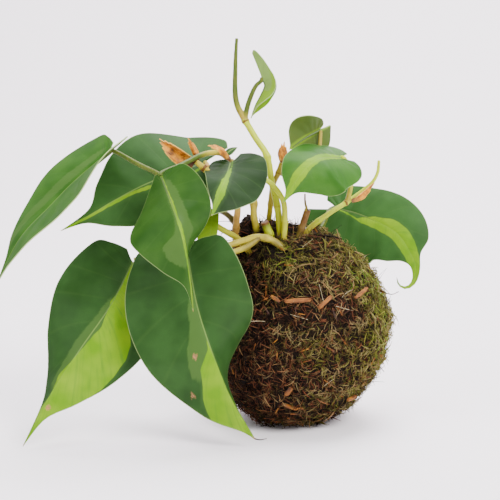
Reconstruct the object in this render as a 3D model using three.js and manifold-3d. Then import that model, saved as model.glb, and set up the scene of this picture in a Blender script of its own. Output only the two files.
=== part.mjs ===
// A vining heart-leaf house plant growing out of a moss-wrapped ball of soil.
// Millimetres, +Z up. The origin is the middle of the flat spot that the ball rests on,
// -Y is the side that the plant faces and +X is to the right of somebody who looks at it.

import * as THREE from "three";
import { mergeVertices } from "three/addons/utils/BufferGeometryUtils.js";
import Module from "manifold-3d";

const wasm = await Module();
wasm.setup();

// ---------------------------------------------------------------- driving sizes

const GAP = 0.3; // clear space between two pieces that touch on the real plant

// The ball: a slightly squared egg, cut flat where it rests.
const BALL = { radius: 46.5, halfHeight: 53.7, centreHeight: 51.3, squareness: 2.3 };
// How far the ball's middle is shifted along X at a height: it leans to the left at the top.
const BALL_LEAN = [[0, 0.5], [23, 3], [40, 6], [56, 7.5], [80, 4], [98, -1.5], [110, -3]];
const BALL_SIDES = 36;
const BALL_RINGS = 24;
const SOIL_SIDES = 24;
const SOIL_RINGS = 15;
const MOSS_THICKNESS = 9;
const MOSS_LUMP = 0.022; // height of the moss cushions, as a share of the radius
const TOP_OPENING = { x: -9, y: -4, halfLength: 20, halfWidth: 14, sides: 18, floor: 84, top: 130 };
const SOIL_CROWN = { x: -9, y: -4, z: 93, halfLength: 19, halfWidth: 13, halfHeight: 15 };
const ROOT_CLUMP = { x: -22, y: -6, z: 101, halfLength: 5, halfWidth: 5, halfHeight: 9 };

// Leaves
const BLADE_THICKNESS = 0.8;
const BLADE_ROWS = 12;
const BLADE_COLUMNS = 3; // on each side of the rib
const VEIN_SWEEP = 2.1; // how far the side veins lean towards the tip
const DRIP_SWEEP = 8; // and how much further they lean in a narrow tip
const VEIN_CURVE = 1.2;

// Stems
const STEM_SIDES = 8;
const STEM_STEP = 7; // length of one straight length of a bent stem

// ---------------------------------------------------------------- colours

const COLOUR = {
  moss: 0x6b5a2c,
  soil: 0x2a1c16,
  bark: 0xa4602f,
  darkLeaf: 0x2f5a2c,
  midLeaf: 0x4f8a35,
  paleLeaf: 0x8fb84a,
  stem: 0xb9c46a,
  beigeStem: 0xc9b078,
  pinkStem: 0xd29a72,
  oliveStem: 0x6b6238,
  brownStub: 0x7a4a2c,
  sheath: 0xd9822e,
};

// ---------------------------------------------------------------- solids

// Joins the corners that share a place and drops the triangles that have no area.
function weld(geometry) {
  const bare = geometry.clone();
  bare.deleteAttribute("normal");
  bare.deleteAttribute("uv");
  const merged = mergeVertices(bare, 1e-3);
  const kept = [];
  const index = merged.index.array;
  for (let i = 0; i < index.length; i += 3) {
    const [a, b, c] = [index[i], index[i + 1], index[i + 2]];
    if (a !== b && b !== c && c !== a) {
      kept.push(a, b, c);
    }
  }
  merged.setIndex(kept);
  return merged;
}

function toSolid(geometry) {
  const welded = weld(geometry);
  return new wasm.Manifold(new wasm.Mesh({
    numProp: 3,
    vertProperties: Float32Array.from(welded.attributes.position.array),
    triVerts: Uint32Array.from(welded.index.array),
  }));
}

function toGeometry(solid) {
  const mesh = solid.getMesh();
  const geometry = new THREE.BufferGeometry();
  geometry.setAttribute("position", new THREE.BufferAttribute(mesh.vertProperties, mesh.numProp));
  geometry.setIndex(new THREE.BufferAttribute(mesh.triVerts, 1));
  geometry.computeVertexNormals();
  return geometry;
}

// Gives a sheet its thickness: the back follows the front triangle by triangle.
function thicken(sheet, thickness) {
  const front = weld(sheet);
  front.computeVertexNormals();
  const place = front.attributes.position;
  const normal = front.attributes.normal;
  const count = place.count;
  const points = [];
  for (const depth of [0.5 * thickness, -0.5 * thickness]) {
    for (let i = 0; i < count; i += 1) {
      points.push(
        place.getX(i) + depth * normal.getX(i),
        place.getY(i) + depth * normal.getY(i),
        place.getZ(i) + depth * normal.getZ(i),
      );
    }
  }
  const triangles = Array.from(front.index.array);
  const faces = [...triangles];
  const edges = new Map();
  for (let i = 0; i < triangles.length; i += 3) {
    const corner = triangles.slice(i, i + 3);
    faces.push(corner[2] + count, corner[1] + count, corner[0] + count);
    for (let k = 0; k < 3; k += 1) {
      edges.set(`${corner[k]},${corner[(k + 1) % 3]}`, [corner[k], corner[(k + 1) % 3]]);
    }
  }
  for (const [a, b] of edges.values()) {
    if (!edges.has(`${b},${a}`)) {
      faces.push(b, a, a + count, b, a + count, b + count);
    }
  }
  const solid = new THREE.BufferGeometry();
  solid.setAttribute("position", new THREE.Float32BufferAttribute(points, 3));
  solid.setIndex(faces);
  return solid;
}

// ---------------------------------------------------------------- the ball

function leanAt(height) {
  const last = BALL_LEAN.length - 1;
  for (let i = 0; i < last; i += 1) {
    const [low, shiftLow] = BALL_LEAN[i];
    const [high, shiftHigh] = BALL_LEAN[i + 1];
    if (height <= high) {
      const share = THREE.MathUtils.clamp((height - low) / (high - low), 0, 1);
      return THREE.MathUtils.lerp(shiftLow, shiftHigh, share);
    }
  }
  return BALL_LEAN[last][1];
}

// The height of the moss cushions in a direction from the ball's middle.
function cushion(d) {
  return Math.sin(7 * d.x + 2 * d.z) * Math.sin(6 * d.y - 3 * d.z + 1)
    + 0.7 * Math.sin(11 * d.z + 4 * d.x) * Math.sin(10 * d.x - 5 * d.y + 2);
}

// A ball like the outer one, drawn in by `inset` all round.
function ballGeometry(inset, sides, rings, lumpHeight) {
  const geometry = new THREE.SphereGeometry(1, sides, rings);
  geometry.rotateX(Math.PI / 2);
  const place = geometry.attributes.position;
  const d = new THREE.Vector3();
  for (let i = 0; i < place.count; i += 1) {
    d.fromBufferAttribute(place, i);
    const p = BALL.squareness;
    const round = (Math.hypot(d.x, d.y) ** p + Math.abs(d.z) ** p) ** (-1 / p);
    const reach = round * (1 + lumpHeight * cushion(d));
    const z = BALL.centreHeight + (BALL.halfHeight - inset) * reach * d.z;
    const across = (BALL.radius - inset) * reach;
    place.setXYZ(i, across * d.x + leanAt(z), across * d.y, z);
  }
  return geometry;
}

function ellipsoid({ x, y, z, halfLength, halfWidth, halfHeight }, sides, rings) {
  const geometry = new THREE.SphereGeometry(1, sides, rings);
  geometry.rotateX(Math.PI / 2);
  geometry.scale(halfLength, halfWidth, halfHeight);
  geometry.translate(x, y, z);
  return toSolid(geometry);
}

function buildSoil(holes) {
  let soil = toSolid(ballGeometry(MOSS_THICKNESS, SOIL_SIDES, SOIL_RINGS, 0));
  soil = soil.add(ellipsoid(SOIL_CROWN, 18, 10)).add(ellipsoid(ROOT_CLUMP, 12, 8));
  return soil.subtract(holes);
}

function buildMoss(holes) {
  const outer = toSolid(ballGeometry(0, BALL_SIDES, BALL_RINGS, MOSS_LUMP));
  const inner = toSolid(ballGeometry(MOSS_THICKNESS - GAP, SOIL_SIDES, SOIL_RINGS, 0));
  const height = TOP_OPENING.top - TOP_OPENING.floor;
  const mouth = new THREE.CylinderGeometry(1, 1, height, TOP_OPENING.sides);
  mouth.rotateX(Math.PI / 2);
  mouth.scale(TOP_OPENING.halfLength, TOP_OPENING.halfWidth, 1);
  mouth.translate(TOP_OPENING.x, TOP_OPENING.y, TOP_OPENING.floor + height / 2);
  const above = new THREE.BoxGeometry(200, 200, 200);
  above.translate(0, 0, 100);
  return outer.intersect(toSolid(above)).subtract(inner).subtract(toSolid(mouth)).subtract(holes);
}

// ---------------------------------------------------------------- stems

// A rod bent along a smooth curve through the points, thinner or thicker at its far end.
function rod({ points, from, to, sides = STEM_SIDES }, extra = 0) {
  const curve = new THREE.CatmullRomCurve3(points.map((p) => new THREE.Vector3(...p)));
  const steps = Math.max(2, Math.round(curve.getLength() / STEM_STEP));
  const frames = curve.computeFrenetFrames(steps);
  const geometry = new THREE.CylinderGeometry(1, 1, 1, sides, steps);
  const place = geometry.attributes.position;
  const offset = new THREE.Vector3();
  for (let i = 0; i < place.count; i += 1) {
    const along = place.getY(i) + 0.5;
    const step = Math.round(along * steps);
    const radius = THREE.MathUtils.lerp(from, to, along) + extra;
    offset.copy(frames.binormals[step]).multiplyScalar(radius * place.getX(i));
    offset.addScaledVector(frames.normals[step], radius * place.getZ(i));
    offset.add(curve.getPointAt(along));
    place.setXYZ(i, offset.x, offset.y, offset.z);
  }
  return toSolid(geometry);
}

// Drops the scraps that a cut leaves beside the piece itself.
function largestPiece(solid) {
  return solid.decompose().sort((a, b) => b.volume() - a.volume())[0];
}

function joinRods(runs, extra = 0) {
  return wasm.Manifold.union(runs.map((run) => rod(run, extra)));
}

// ---------------------------------------------------------------- leaves

// Half of the blade's edge from the back of its lobe to the tip: along the rib as a share of
// its length, and out from it as a share of the half width. `lobe` is how far the lobe reaches
// back, `cheek` how wide it is there and `inner` how wide on the side of the notch, `full`
// how round the lower half is and `drip` how much of the rib is a narrow tip. The edge of the
// notch runs from the stalk to the first point.
function heartEdge({ lobe, full, drip, cheek = 1, inner = cheek }) {
  const body = 1 - drip;
  return [
    [-0.95 * lobe, 0.2 * inner],
    [-lobe, 0.5 * inner],
    [-0.5 * lobe, 0.84 * cheek],
    [0.15 * body, 0.5 + 0.5 * cheek],
    [0.38 * body, 0.88 + 0.12 * full],
    [0.6 * body, 0.62 + 0.26 * full],
    [0.8 * body, 0.3 + 0.26 * full],
    [0.95 * body, 0.08 + 0.06 * full],
    [1, 0],
  ];
}

function lanceEdge() {
  return [[0, 0.45], [0.15, 0.75], [0.4, 1], [0.65, 0.8], [0.85, 0.38], [1, 0]];
}

// A direction given by its bearing, from the front towards the right, and its height.
function facing([bearing, height]) {
  const b = THREE.MathUtils.degToRad(bearing);
  const h = THREE.MathUtils.degToRad(height);
  return new THREE.Vector3(Math.sin(b) * Math.cos(h), -Math.cos(b) * Math.cos(h), Math.sin(h));
}

// Describes how a blade lies: its rib, the way it faces along the rib, and its two halves.
function bladeShape(spec) {
  const rib = new THREE.CatmullRomCurve3(
    spec.rib.map((p) => new THREE.Vector3(...p)), false, "catmullrom", 0.5,
  );
  const halves = [spec.left, spec.right].map((side) => {
    const points = spec.lance ? lanceEdge() : heartEdge(side);
    return { ...side, edge: new THREE.SplineCurve(points.map((p) => new THREE.Vector2(...p))) };
  });
  const drip = spec.lance ? 0 : (spec.left.drip + spec.right.drip) / 2;
  return { rib, length: rib.getLength(), faces: spec.faces.map(facing), halves, drip };
}

// The point of a blade on the side vein `row` (0 at the stalk, 1 at the tip), `side` of the
// way out to the edge (-1 left edge, 0 rib, 1 right edge), with the tip pointing down.
function bladePoint(shape, row, side) {
  const half = shape.halves[side < 0 ? 0 : 1];
  const out = Math.abs(side);
  const edge = half.edge.getPoint(row);
  const foot = (1 - shape.drip) * row ** VEIN_SWEEP + shape.drip * row ** DRIP_SWEEP;
  const along = THREE.MathUtils.lerp(foot, edge.x, out ** VEIN_CURVE);
  const across = edge.y * half.half * out;
  const share = THREE.MathUtils.clamp(along, 0, 1);
  const tangent = shape.rib.getTangentAt(share);
  const behind = Math.min(along, 0) * shape.length;

  const position = share * (shape.faces.length - 1);
  const first = Math.min(Math.floor(position), shape.faces.length - 2);
  const normal = shape.faces[first].clone().lerp(shape.faces[first + 1], position - first);
  normal.addScaledVector(tangent, -normal.dot(tangent)).normalize();
  const right = new THREE.Vector3().crossVectors(normal, tangent);

  const [foldBase, foldTip] = half.fold;
  const [turnFrom, turnTo] = half.turn ?? [0.25, 0.75];
  const fold = THREE.MathUtils.lerp(foldBase, foldTip, THREE.MathUtils.smoothstep(share, turnFrom, turnTo));
  const start = THREE.MathUtils.degToRad(fold);
  const bend = THREE.MathUtils.degToRad(half.curl) / half.half;
  const end = start + bend * across;
  const wave = half.wave ?? { height: 0, count: 1, start: 0 };
  const ripple = wave.height * out * out * Math.sin(2 * Math.PI * (wave.count * row + wave.start));

  const point = shape.rib.getPointAt(share);
  point.addScaledVector(tangent, behind);
  point.addScaledVector(right, Math.sign(side) * (Math.sin(end) - Math.sin(start)) / bend);
  point.addScaledVector(normal, (Math.cos(start) - Math.cos(end)) / bend + ripple);
  return point;
}

function bladeSolid(spec, thickness = BLADE_THICKNESS, margin = 0) {
  const shape = bladeShape(spec);
  const columns = 2 * (spec.columns ?? BLADE_COLUMNS);
  const rows = spec.rows ?? BLADE_ROWS;
  const sheet = new THREE.PlaneGeometry(2, 1, columns, rows);
  const place = sheet.attributes.position;
  for (let i = 0; i < place.count; i += 1) {
    const row = 0.5 - place.getY(i);
    const half = shape.halves[place.getX(i) < 0 ? 0 : 1].half;
    const point = bladePoint(shape, row, place.getX(i) * (1 + margin / half));
    point.addScaledVector(shape.rib.getTangentAt(row), margin * (2 * row - 1));
    place.setXYZ(i, point.x, point.y, point.z);
  }
  return toSolid(thicken(sheet, thickness));
}

// ---------------------------------------------------------------- the plant, piece by piece

// Each leaf: the places its rib passes from stalk to tip, the way its upper side faces along
// the rib (bearing and height in degrees), and its halves. `fold` is how far a half is bent up
// from flat at the base and at the tip, `turn` where along the rib it changes from one to the
// other, and `curl` how much more it bends on its way to the edge.
const LEAVES = {
  leaf_far_left: {
    colour: COLOUR.midLeaf,
    rib: [[-92, -35, 148], [-109, -39, 134], [-122, -43, 121], [-137, -47, 105], [-149, -50, 82]],
    faces: [[-40, 57], [-40, 42], [-40, 38]],
    left: { half: 24, lobe: 0.05, full: 0.4, drip: 0.12, fold: [6, -5], curl: -12, cheek: 0.9 },
    right: { half: 20, lobe: 0.12, full: 0.6, drip: 0.06, fold: [30, 14], curl: 2, turn: [0, 0.35] },
  },
  leaf_back_left: {
    colour: COLOUR.darkLeaf,
    rib: [[-45.5, -16, 140], [-72.5, -24, 131], [-90, -28.5, 122.5], [-103, -31, 115], [-118, -33, 107]],
    faces: [[-12, 40], [4, 8], [0, 25]],
    left: { half: 30, lobe: 0.2, full: 0.45, drip: 0.18, fold: [-8, -16], curl: -6, cheek: 0.72 },
    right: { half: 22, lobe: 0.05, full: 0.8, drip: 0.12, fold: [0, -5], curl: -16, cheek: 0.8 },
  },
  leaf_middle: {
    colour: COLOUR.midLeaf,
    rib: [[-65.5, -52, 137], [-59, -60, 121.5], [-54, -65, 106], [-51, -67, 89], [-49.5, -66, 71.5]],
    faces: [[-25, 16], [18, 17], [0, 11]],
    left: { half: 27, lobe: 0.03, full: 0.8, drip: 0.14, fold: [-12, -20], curl: -20, cheek: 0.2 },
    right: { half: 20, lobe: 0.03, full: 0.6, drip: 0.24, fold: [-5, -85], curl: -20, cheek: 0.8 },
  },
  leaf_low_left: {
    colour: COLOUR.darkLeaf,
    rib: [[-81.5, -30, 90.5], [-92.5, -38, 69.5], [-107.5, -47, 48.5], [-121, -56, 28.5], [-135, -66, 3]],
    faces: [[-15, 25], [5, 14], [-5, 18]],
    left: { half: 34, lobe: 0.05, full: 0.15, drip: 0.17, fold: [-3, -55], curl: -18, cheek: 0.95 },
    right: { half: 30, lobe: 0.17, full: 0.6, drip: 0.11, fold: [7, -6], curl: -10 },
  },
  leaf_low_front: {
    colour: COLOUR.darkLeaf,
    rib: [[-53, -44, 97.5], [-48, -54, 72.5], [-40, -60, 48.5], [-30, -62, 24], [-19, -60, 5]],
    faces: [[-14, 11], [12, 18], [0, 13]],
    left: { half: 37, lobe: 0.08, full: 0.7, drip: 0.03, fold: [4, -20], curl: -16, cheek: 0.9 },
    right: { half: 28, lobe: 0.05, full: 0.8, drip: 0.12, fold: [14, -75], curl: -14, cheek: 0.9 },
  },
  leaf_shoulder: {
    colour: COLOUR.darkLeaf,
    rib: [[-31.5, -21, 140.5], [-33.5, -33, 135], [-36.5, -43, 128.5], [-41, -50, 117]],
    faces: [[-15, 60], [15, 32], [8, 16]],
    left: { half: 12, lobe: 0.08, full: 0.5, drip: 0.1, fold: [2, 2], curl: -12 },
    right: { half: 20, lobe: 0.22, full: 1, drip: 0.02, fold: [5, 5], curl: -11 },
  },
  leaf_hidden: {
    colour: COLOUR.paleLeaf,
    rib: [[-40.5, -32, 116.5], [-41.5, -37, 106], [-42.5, -39, 92], [-41, -38, 78]],
    faces: [[0, 5], [0, 5]],
    left: { half: 7, lobe: 0.1, full: 0.5, drip: 0.1, fold: [2, 2], curl: -8 },
    right: { half: 3.5, lobe: 0.1, full: 0.5, drip: 0.1, fold: [2, 2], curl: -8 },
  },
  leaf_right_upper: {
    colour: COLOUR.midLeaf,
    rib: [[25.5, -14, 142.5], [14, -24, 143], [4.5, -31, 136], [-5, -33, 121]],
    faces: [[0, 51], [0, 46], [0, 28]],
    left: { half: 18, lobe: 0.17, full: 0.8, drip: 0.1, fold: [-4, 0], curl: -24 },
    right: { half: 22, lobe: 0.15, full: 1.2, drip: 0.13, fold: [0, -25], curl: -22, cheek: 0.82 },
  },
  leaf_top_back: {
    colour: COLOUR.midLeaf,
    rib: [[15, 4, 155.5], [7, -1, 151.5], [-1, -6, 146]],
    faces: [[172, 28], [172, 18]],
    left: {
      half: 15, lobe: 0.35, full: 0.5, drip: 0.08, fold: [-4, 3], curl: -20, cheek: 0.8, inner: 0.3,
    },
    right: {
      half: 14, lobe: 0.12, full: 1.3, drip: 0.05, fold: [-10, 5], curl: -20, cheek: 0.62, inner: 0.5,
    },
  },
  leaf_right: {
    colour: COLOUR.darkLeaf,
    rib: [
      [26.5, 35, 109.5], [40, 32.5, 106], [58, 26, 97.5], [67, 20, 84], [68.5, 18, 76], [66.5, 17.2, 70.5],
      [62.5, 17, 68.5], [59, 17, 70.5], [58, 17, 74.5],
    ],
    faces: [[12, 14], [0, 10], [0, 10], [0, 10]],
    left: { half: 22.5, lobe: 0.2, full: 1.3, drip: 0.28, fold: [3, -5], curl: -12 },
    right: { half: 18, lobe: 0.09, full: 1.6, drip: 0.28, fold: [-4, 10], curl: -20, cheek: 0.8 },
    rows: 18,
  },
  leaf_young: {
    colour: COLOUR.paleLeaf,
    rib: [[-15.5, -14, 184], [-13.5, -15, 180], [-15.5, -15, 175], [-18.5, -15, 169.5], [-21, -15, 163]],
    faces: [[75, 0], [75, 0]],
    left: { half: 7, lobe: 0.6, full: 0.5, drip: 0.05, fold: [65, 25], curl: 10, turn: [0, 0.8] },
    right: { half: 6, lobe: 0.35, full: 0.8, drip: 0.05, fold: [50, 55], curl: 10 },
    rows: 10,
  },
  leaf_small_tip: {
    colour: COLOUR.darkLeaf,
    rib: [[-34.5, -14, 143.5], [-31.5, -12, 146], [-28, -10, 147.5]],
    faces: [[0, 50], [0, 50]],
    left: { half: 2, fold: [0, 0], curl: -10 },
    right: { half: 2, fold: [0, 0], curl: -10 },
    lance: true,
    rows: 6,
    columns: 1,
  },
};

// The dry sheaths that once wrapped the young leaves.
const SHEATHS = {
  sheath_left: {
    rib: [[-50, -28, 141], [-58.5, -31, 146.5], [-67, -33, 153.5]],
    faces: [[20, -25], [20, -25]],
    left: { half: 5.5, fold: [20, 20], curl: 50 },
    right: { half: 5.5, fold: [20, 20], curl: 50 },
  },
  sheath_stalk: {
    rib: [[-48, -27.8, 142.5], [-49.5, -27, 147.5], [-53, -27, 153.5]],
    faces: [[0, 25], [0, 25]],
    left: { half: 2.4, fold: [-20, -20], curl: -60 },
    right: { half: 2.4, fold: [-20, -20], curl: -60 },
  },
  sheath_node: {
    rib: [[-31.5, -16, 142], [-36, -19, 147.5], [-42.5, -22, 149.5]],
    faces: [[20, 50], [20, 50]],
    left: { half: 3, fold: [-10, -10], curl: -40 },
    right: { half: 3, fold: [-10, -10], curl: -40 },
  },
  sheath_centre: {
    rib: [[-4.5, -9, 139.5], [-4.5, -10, 145], [-4, -10, 150]],
    faces: [[0, 0], [0, 0]],
    left: { half: 3, fold: [-10, -10], curl: -50 },
    right: { half: 3, fold: [-10, -10], curl: -50 },
  },
  sheath_right: {
    rib: [[32, 0.5, 118], [37.5, 1.5, 121.5], [44, 2.5, 127.5]],
    faces: [[20, -25], [20, -25]],
    left: { half: 2.4, fold: [10, 10], curl: 50 },
    right: { half: 2.4, fold: [10, 10], curl: 50 },
  },
};

// Each stem: the places that its runs pass, and the radius of each run at its two ends.
const STEMS = {
  stem_main: {
    colour: COLOUR.stem,
    runs: [
      {
        points: [
          [-5.5, -15, 90], [-5.5, -15, 99.5], [-7.5, -15, 118], [-10, -14.5, 128.5], [-13, -14, 144],
          [-18.5, -13, 152.5], [-24.5, -12, 162.5],
        ],
        from: 1.7, to: 1.5,
      },
      {
        points: [
          [-24.2, -12, 162], [-22.5, -12.5, 170], [-18.5, -13.5, 179.5], [-15.5, -14, 182.5],
        ],
        from: 1.3, to: 0.9,
      },
      {
        points: [
          [-24.3, -12, 162], [-28.5, -12, 171], [-29, -12, 190], [-28.3, -12, 204],
        ],
        from: 1.6, to: 0.7,
      },
    ],
  },
  stem_centre: {
    colour: COLOUR.stem,
    runs: [
      {
        points: [
          [-4, -18.8, 90], [-4, -18.8, 100], [-3.5, -19, 113], [-4.5, -19.5, 121], [-11, -20, 130],
          [-21.5, -18.5, 135], [-31, -20, 139],
        ],
        from: 1.6, to: 1.1,
      },
    ],
  },
  stem_thin_beige: {
    colour: COLOUR.beigeStem,
    runs: [
      {
        points: [
          [-12, -2, 94], [-12, -2, 104], [-11, -4, 114], [-9.5, -8, 127.5], [-6.5, -8, 134.5],
          [-5, -8.5, 139.5],
        ],
        from: 1.4, to: 1.2,
      },
      {
        points: [
          [-6.5, -8, 134.5], [0, -4, 131], [9, 0, 134], [14.5, 0, 144], [15.8, 3.2, 155.2],
        ],
        from: 1.1, to: 0.8,
      },
    ],
  },
  stem_right: {
    colour: COLOUR.stem,
    runs: [
      {
        points: [
          [2, -7.5, 92], [9, -6, 103.5], [20.5, -2, 112], [31.5, 2, 118.5], [43.5, 4, 128],
          [46, 4, 133], [46.5, 3, 139.5],
        ],
        from: 1.6, to: 0.7,
      },
      {
        points: [
          [30, 1.5, 118], [31.5, -2, 127], [29.5, -8.5, 138], [26.8, -12.9, 142.3],
        ],
        from: 1.2, to: 1.1,
      },
    ],
  },
  stalk_right: {
    colour: COLOUR.stem,
    runs: [
      {
        points: [
          [10, 8, 86], [14, 14, 96], [18.5, 23, 103], [22, 31, 109], [24.9, 34.3, 110],
        ],
        from: 1.4, to: 1.1,
      },
    ],
  },
  stub_brown: {
    colour: COLOUR.brownStub,
    runs: [
      {
        points: [
          [2, -12, 93], [4.5, -12, 102.5], [8.5, -14, 115.5],
        ],
        from: 1.7, to: 1.6,
      },
      {
        points: [
          [8.3, -13.9, 115], [7.2, -14, 119], [7, -14, 124],
        ],
        from: 0.6, to: 0.4, sides: 6,
      },
    ],
  },
  stub_green: {
    colour: COLOUR.stem,
    runs: [{ points: [[-11, -14, 92], [-11, -15.5, 101], [-14, -17.5, 109.5]], from: 2.1, to: 2.1 }],
  },
  stem_beige: {
    colour: COLOUR.beigeStem,
    runs: [
      {
        points: [
          [-16.5, -10, 92], [-17.5, -11, 101.5], [-19.5, -12.5, 112.5], [-20, -12, 122],
          [-26.5, -12, 132], [-32, -13.5, 141],
        ],
        from: 1.8, to: 1.5,
      },
      {
        points: [
          [-31.5, -13.3, 140], [-35.5, -16.5, 144.5], [-40, -22, 146], [-46.5, -31, 145.5],
          [-55.5, -41.5, 142], [-65.8, -51, 138.3],
        ],
        from: 1.4, to: 1.1,
      },
    ],
  },
  stem_pink: {
    colour: COLOUR.pinkStem,
    runs: [
      {
        points: [
          [-27, -12, 90], [-29, -13, 101], [-28.5, -15, 110], [-28, -18, 117], [-31, -24, 124],
          [-36, -28, 130.5], [-43, -28.5, 137], [-49, -28.5, 142],
        ],
        from: 1.8, to: 1.3,
      },
      {
        points: [
          [-44.5, -28, 138.5], [-43.5, -22, 139.5], [-44.6, -16.2, 140.3],
        ],
        from: 1.1, to: 1.1,
      },
    ],
  },
  stem_olive: {
    colour: COLOUR.oliveStem,
    runs: [
      {
        points: [
          [-22, -5, 92], [-27, -7.5, 103], [-31, -10, 110], [-36, -18, 115], [-40.3, -31, 117],
        ],
        from: 1.5, to: 1.2,
      },
    ],
  },
  stalk_far_left: {
    colour: COLOUR.stem,
    runs: [
      {
        points: [
          [-20, -15, 90], [-24.5, -18.5, 97.5], [-29, -21, 102], [-38.5, -28.5, 109], [-52, -36, 122.5],
          [-65, -41, 135.5], [-78, -38.5, 142], [-91.3, -34.9, 148.4],
        ],
        from: 1.6, to: 1.1,
      },
    ],
  },
  stem_low: {
    colour: COLOUR.stem,
    runs: [
      {
        points: [
          [3, -24, 88], [-6.5, -24, 98.5], [-12, -23.5, 101.5], [-18.5, -24, 102.5], [-24, -25, 101],
          [-34, -28, 98.5], [-52, -31, 95.5], [-67.5, -29, 93.5], [-81.1, -29.6, 91.3],
        ],
        from: 1.8, to: 1.3,
      },
      {
        points: [
          [-17, -24, 102], [-23, -27, 98], [-31, -31, 95.5], [-40, -33.5, 93.5], [-48, -37, 95.5],
          [-52.5, -41, 99.5], [-53.1, -43.6, 98.4],
        ],
        from: 1.5, to: 1.2,
      },
    ],
  },
};

// Each flake: its bearing round the ball, its height, its length and how far it lies from level.
const BARK_FLAKES = [
  { heading: -93, height: 73, length: 12, tilt: 4 },
  { heading: -75, height: 72, length: 8.5, tilt: 38 },
  { heading: -45, height: 74.5, length: 10.5, tilt: 20 },
  { heading: -108, height: 73.5, length: 5, tilt: -30 },
  { heading: -95, height: 16.5, length: 8, tilt: -25 },
  { heading: -42, height: 18, length: 6, tilt: 12 },
  { heading: -97, height: 25.5, length: 5, tilt: 55 },
];
const FLAKE_WIDTH = 3;
const FLAKE_THICKNESS = 1.4;
const FLAKE_SINK = 0.35; // how far a flake's middle lies under the moss surface

// ---------------------------------------------------------------- assembly

function surfacePoint(heading, height) {
  const angle = THREE.MathUtils.degToRad(heading);
  const p = BALL.squareness;
  const up = (height - BALL.centreHeight) / BALL.halfHeight;
  const across = BALL.radius * (1 - Math.abs(up) ** p) ** (1 / p);
  return new THREE.Vector3(across * Math.cos(angle) + leanAt(height), across * Math.sin(angle), height);
}

function flakeSolid({ heading, height, length, tilt }, extra) {
  const middle = surfacePoint(heading, height);
  const aside = surfacePoint(heading + 1, height).sub(middle);
  const upward = surfacePoint(heading, height + 1).sub(middle);
  const outward = new THREE.Vector3().crossVectors(aside, upward).normalize();
  const shape = new THREE.BoxGeometry(
    length + 2 * extra, FLAKE_WIDTH + 2 * extra, FLAKE_THICKNESS + 2 * extra, 3, 1, 1,
  );
  const place = shape.attributes.position;
  for (let i = 0; i < place.count; i += 1) {
    const end = Math.abs(place.getX(i)) / (length / 2);
    place.setY(i, place.getY(i) * (end > 0.8 ? 0.45 : 1));
  }
  const turn = new THREE.Matrix4().makeBasis(
    aside.normalize(), new THREE.Vector3().crossVectors(outward, aside), outward,
  );
  shape.rotateZ(THREE.MathUtils.degToRad(tilt));
  shape.applyMatrix4(turn);
  middle.addScaledVector(outward, -FLAKE_SINK);
  shape.translate(middle.x, middle.y, middle.z);
  return toSolid(shape);
}

const plant = new THREE.Group();
plant.name = "moss_ball_plant";

function addPiece(name, solid, colour, roughness) {
  const material = new THREE.MeshStandardMaterial({ color: colour, roughness, metalness: 0 });
  const mesh = new THREE.Mesh(toGeometry(solid), material);
  mesh.name = name;
  plant.add(mesh);
}

const blades = { ...LEAVES };
for (const [name, spec] of Object.entries(SHEATHS)) {
  blades[name] = { colour: COLOUR.sheath, lance: true, rows: 6, columns: 2, ...spec };
}
const bladeRoom = wasm.Manifold.union(
  Object.values(blades).map((spec) => bladeSolid(spec, BLADE_THICKNESS + 2 * GAP, GAP)),
);

const stemRoom = wasm.Manifold.union(Object.values(STEMS).map(({ runs }) => joinRods(runs, GAP * 1.1)));
const flakeRoom = wasm.Manifold.union(BARK_FLAKES.map((flake) => flakeSolid(flake, GAP)));

addPiece("soil_ball", largestPiece(buildSoil(stemRoom)), COLOUR.soil, 0.95);
addPiece("moss_jacket", largestPiece(buildMoss(stemRoom.add(flakeRoom))), COLOUR.moss, 0.95);
BARK_FLAKES.forEach((flake, i) => {
  addPiece(`bark_flake_${i + 1}`, flakeSolid(flake, 0), COLOUR.bark, 0.85);
});
for (const [name, { runs, colour }] of Object.entries(STEMS)) {
  addPiece(name, largestPiece(joinRods(runs).subtract(bladeRoom)), colour, 0.5);
}
for (const [name, spec] of Object.entries(blades)) {
  addPiece(name, bladeSolid(spec), spec.colour, 0.4);
}

export default plant;
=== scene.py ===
"""A vining heart-leaf house plant that grows out of a moss-wrapped ball of soil, dressed for looks."""

import functools
import math

import bpy
import numpy as np
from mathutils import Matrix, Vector, noise


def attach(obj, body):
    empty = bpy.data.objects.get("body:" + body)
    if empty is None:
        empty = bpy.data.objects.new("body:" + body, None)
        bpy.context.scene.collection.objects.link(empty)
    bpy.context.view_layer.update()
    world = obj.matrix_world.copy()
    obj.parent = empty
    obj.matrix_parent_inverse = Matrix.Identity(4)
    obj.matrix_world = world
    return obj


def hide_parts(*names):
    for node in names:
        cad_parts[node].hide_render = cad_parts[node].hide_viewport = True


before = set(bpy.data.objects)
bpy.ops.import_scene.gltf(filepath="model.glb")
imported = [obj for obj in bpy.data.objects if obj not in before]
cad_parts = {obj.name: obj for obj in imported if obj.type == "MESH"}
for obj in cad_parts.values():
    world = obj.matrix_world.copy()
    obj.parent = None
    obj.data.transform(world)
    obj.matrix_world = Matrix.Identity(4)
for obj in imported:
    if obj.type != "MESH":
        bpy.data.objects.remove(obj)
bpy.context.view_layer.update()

bl_info = {
    "name": "Moss Ball House Plant",
    "version": (1, 0, 0),
    "blender": (4, 5, 0),
    "location": "View3D > Sidebar > Moss Ball",
    "description": "Models a heart-leaf house plant rooted in a moss-wrapped ball",
    "category": "Object",
}

MM = 0.001
BODY = "root"
SEED = 20


# ---------------------------------------------------------------- colours and nodes


def srgb(code):
    """The linear colour of an sRGB hex code."""
    channels = [int(code[i:i + 2], 16) / 255 for i in (1, 3, 5)]
    return tuple(c / 12.92 if c <= 0.04045 else ((c + 0.055) / 1.055) ** 2.4 for c in channels)


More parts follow.
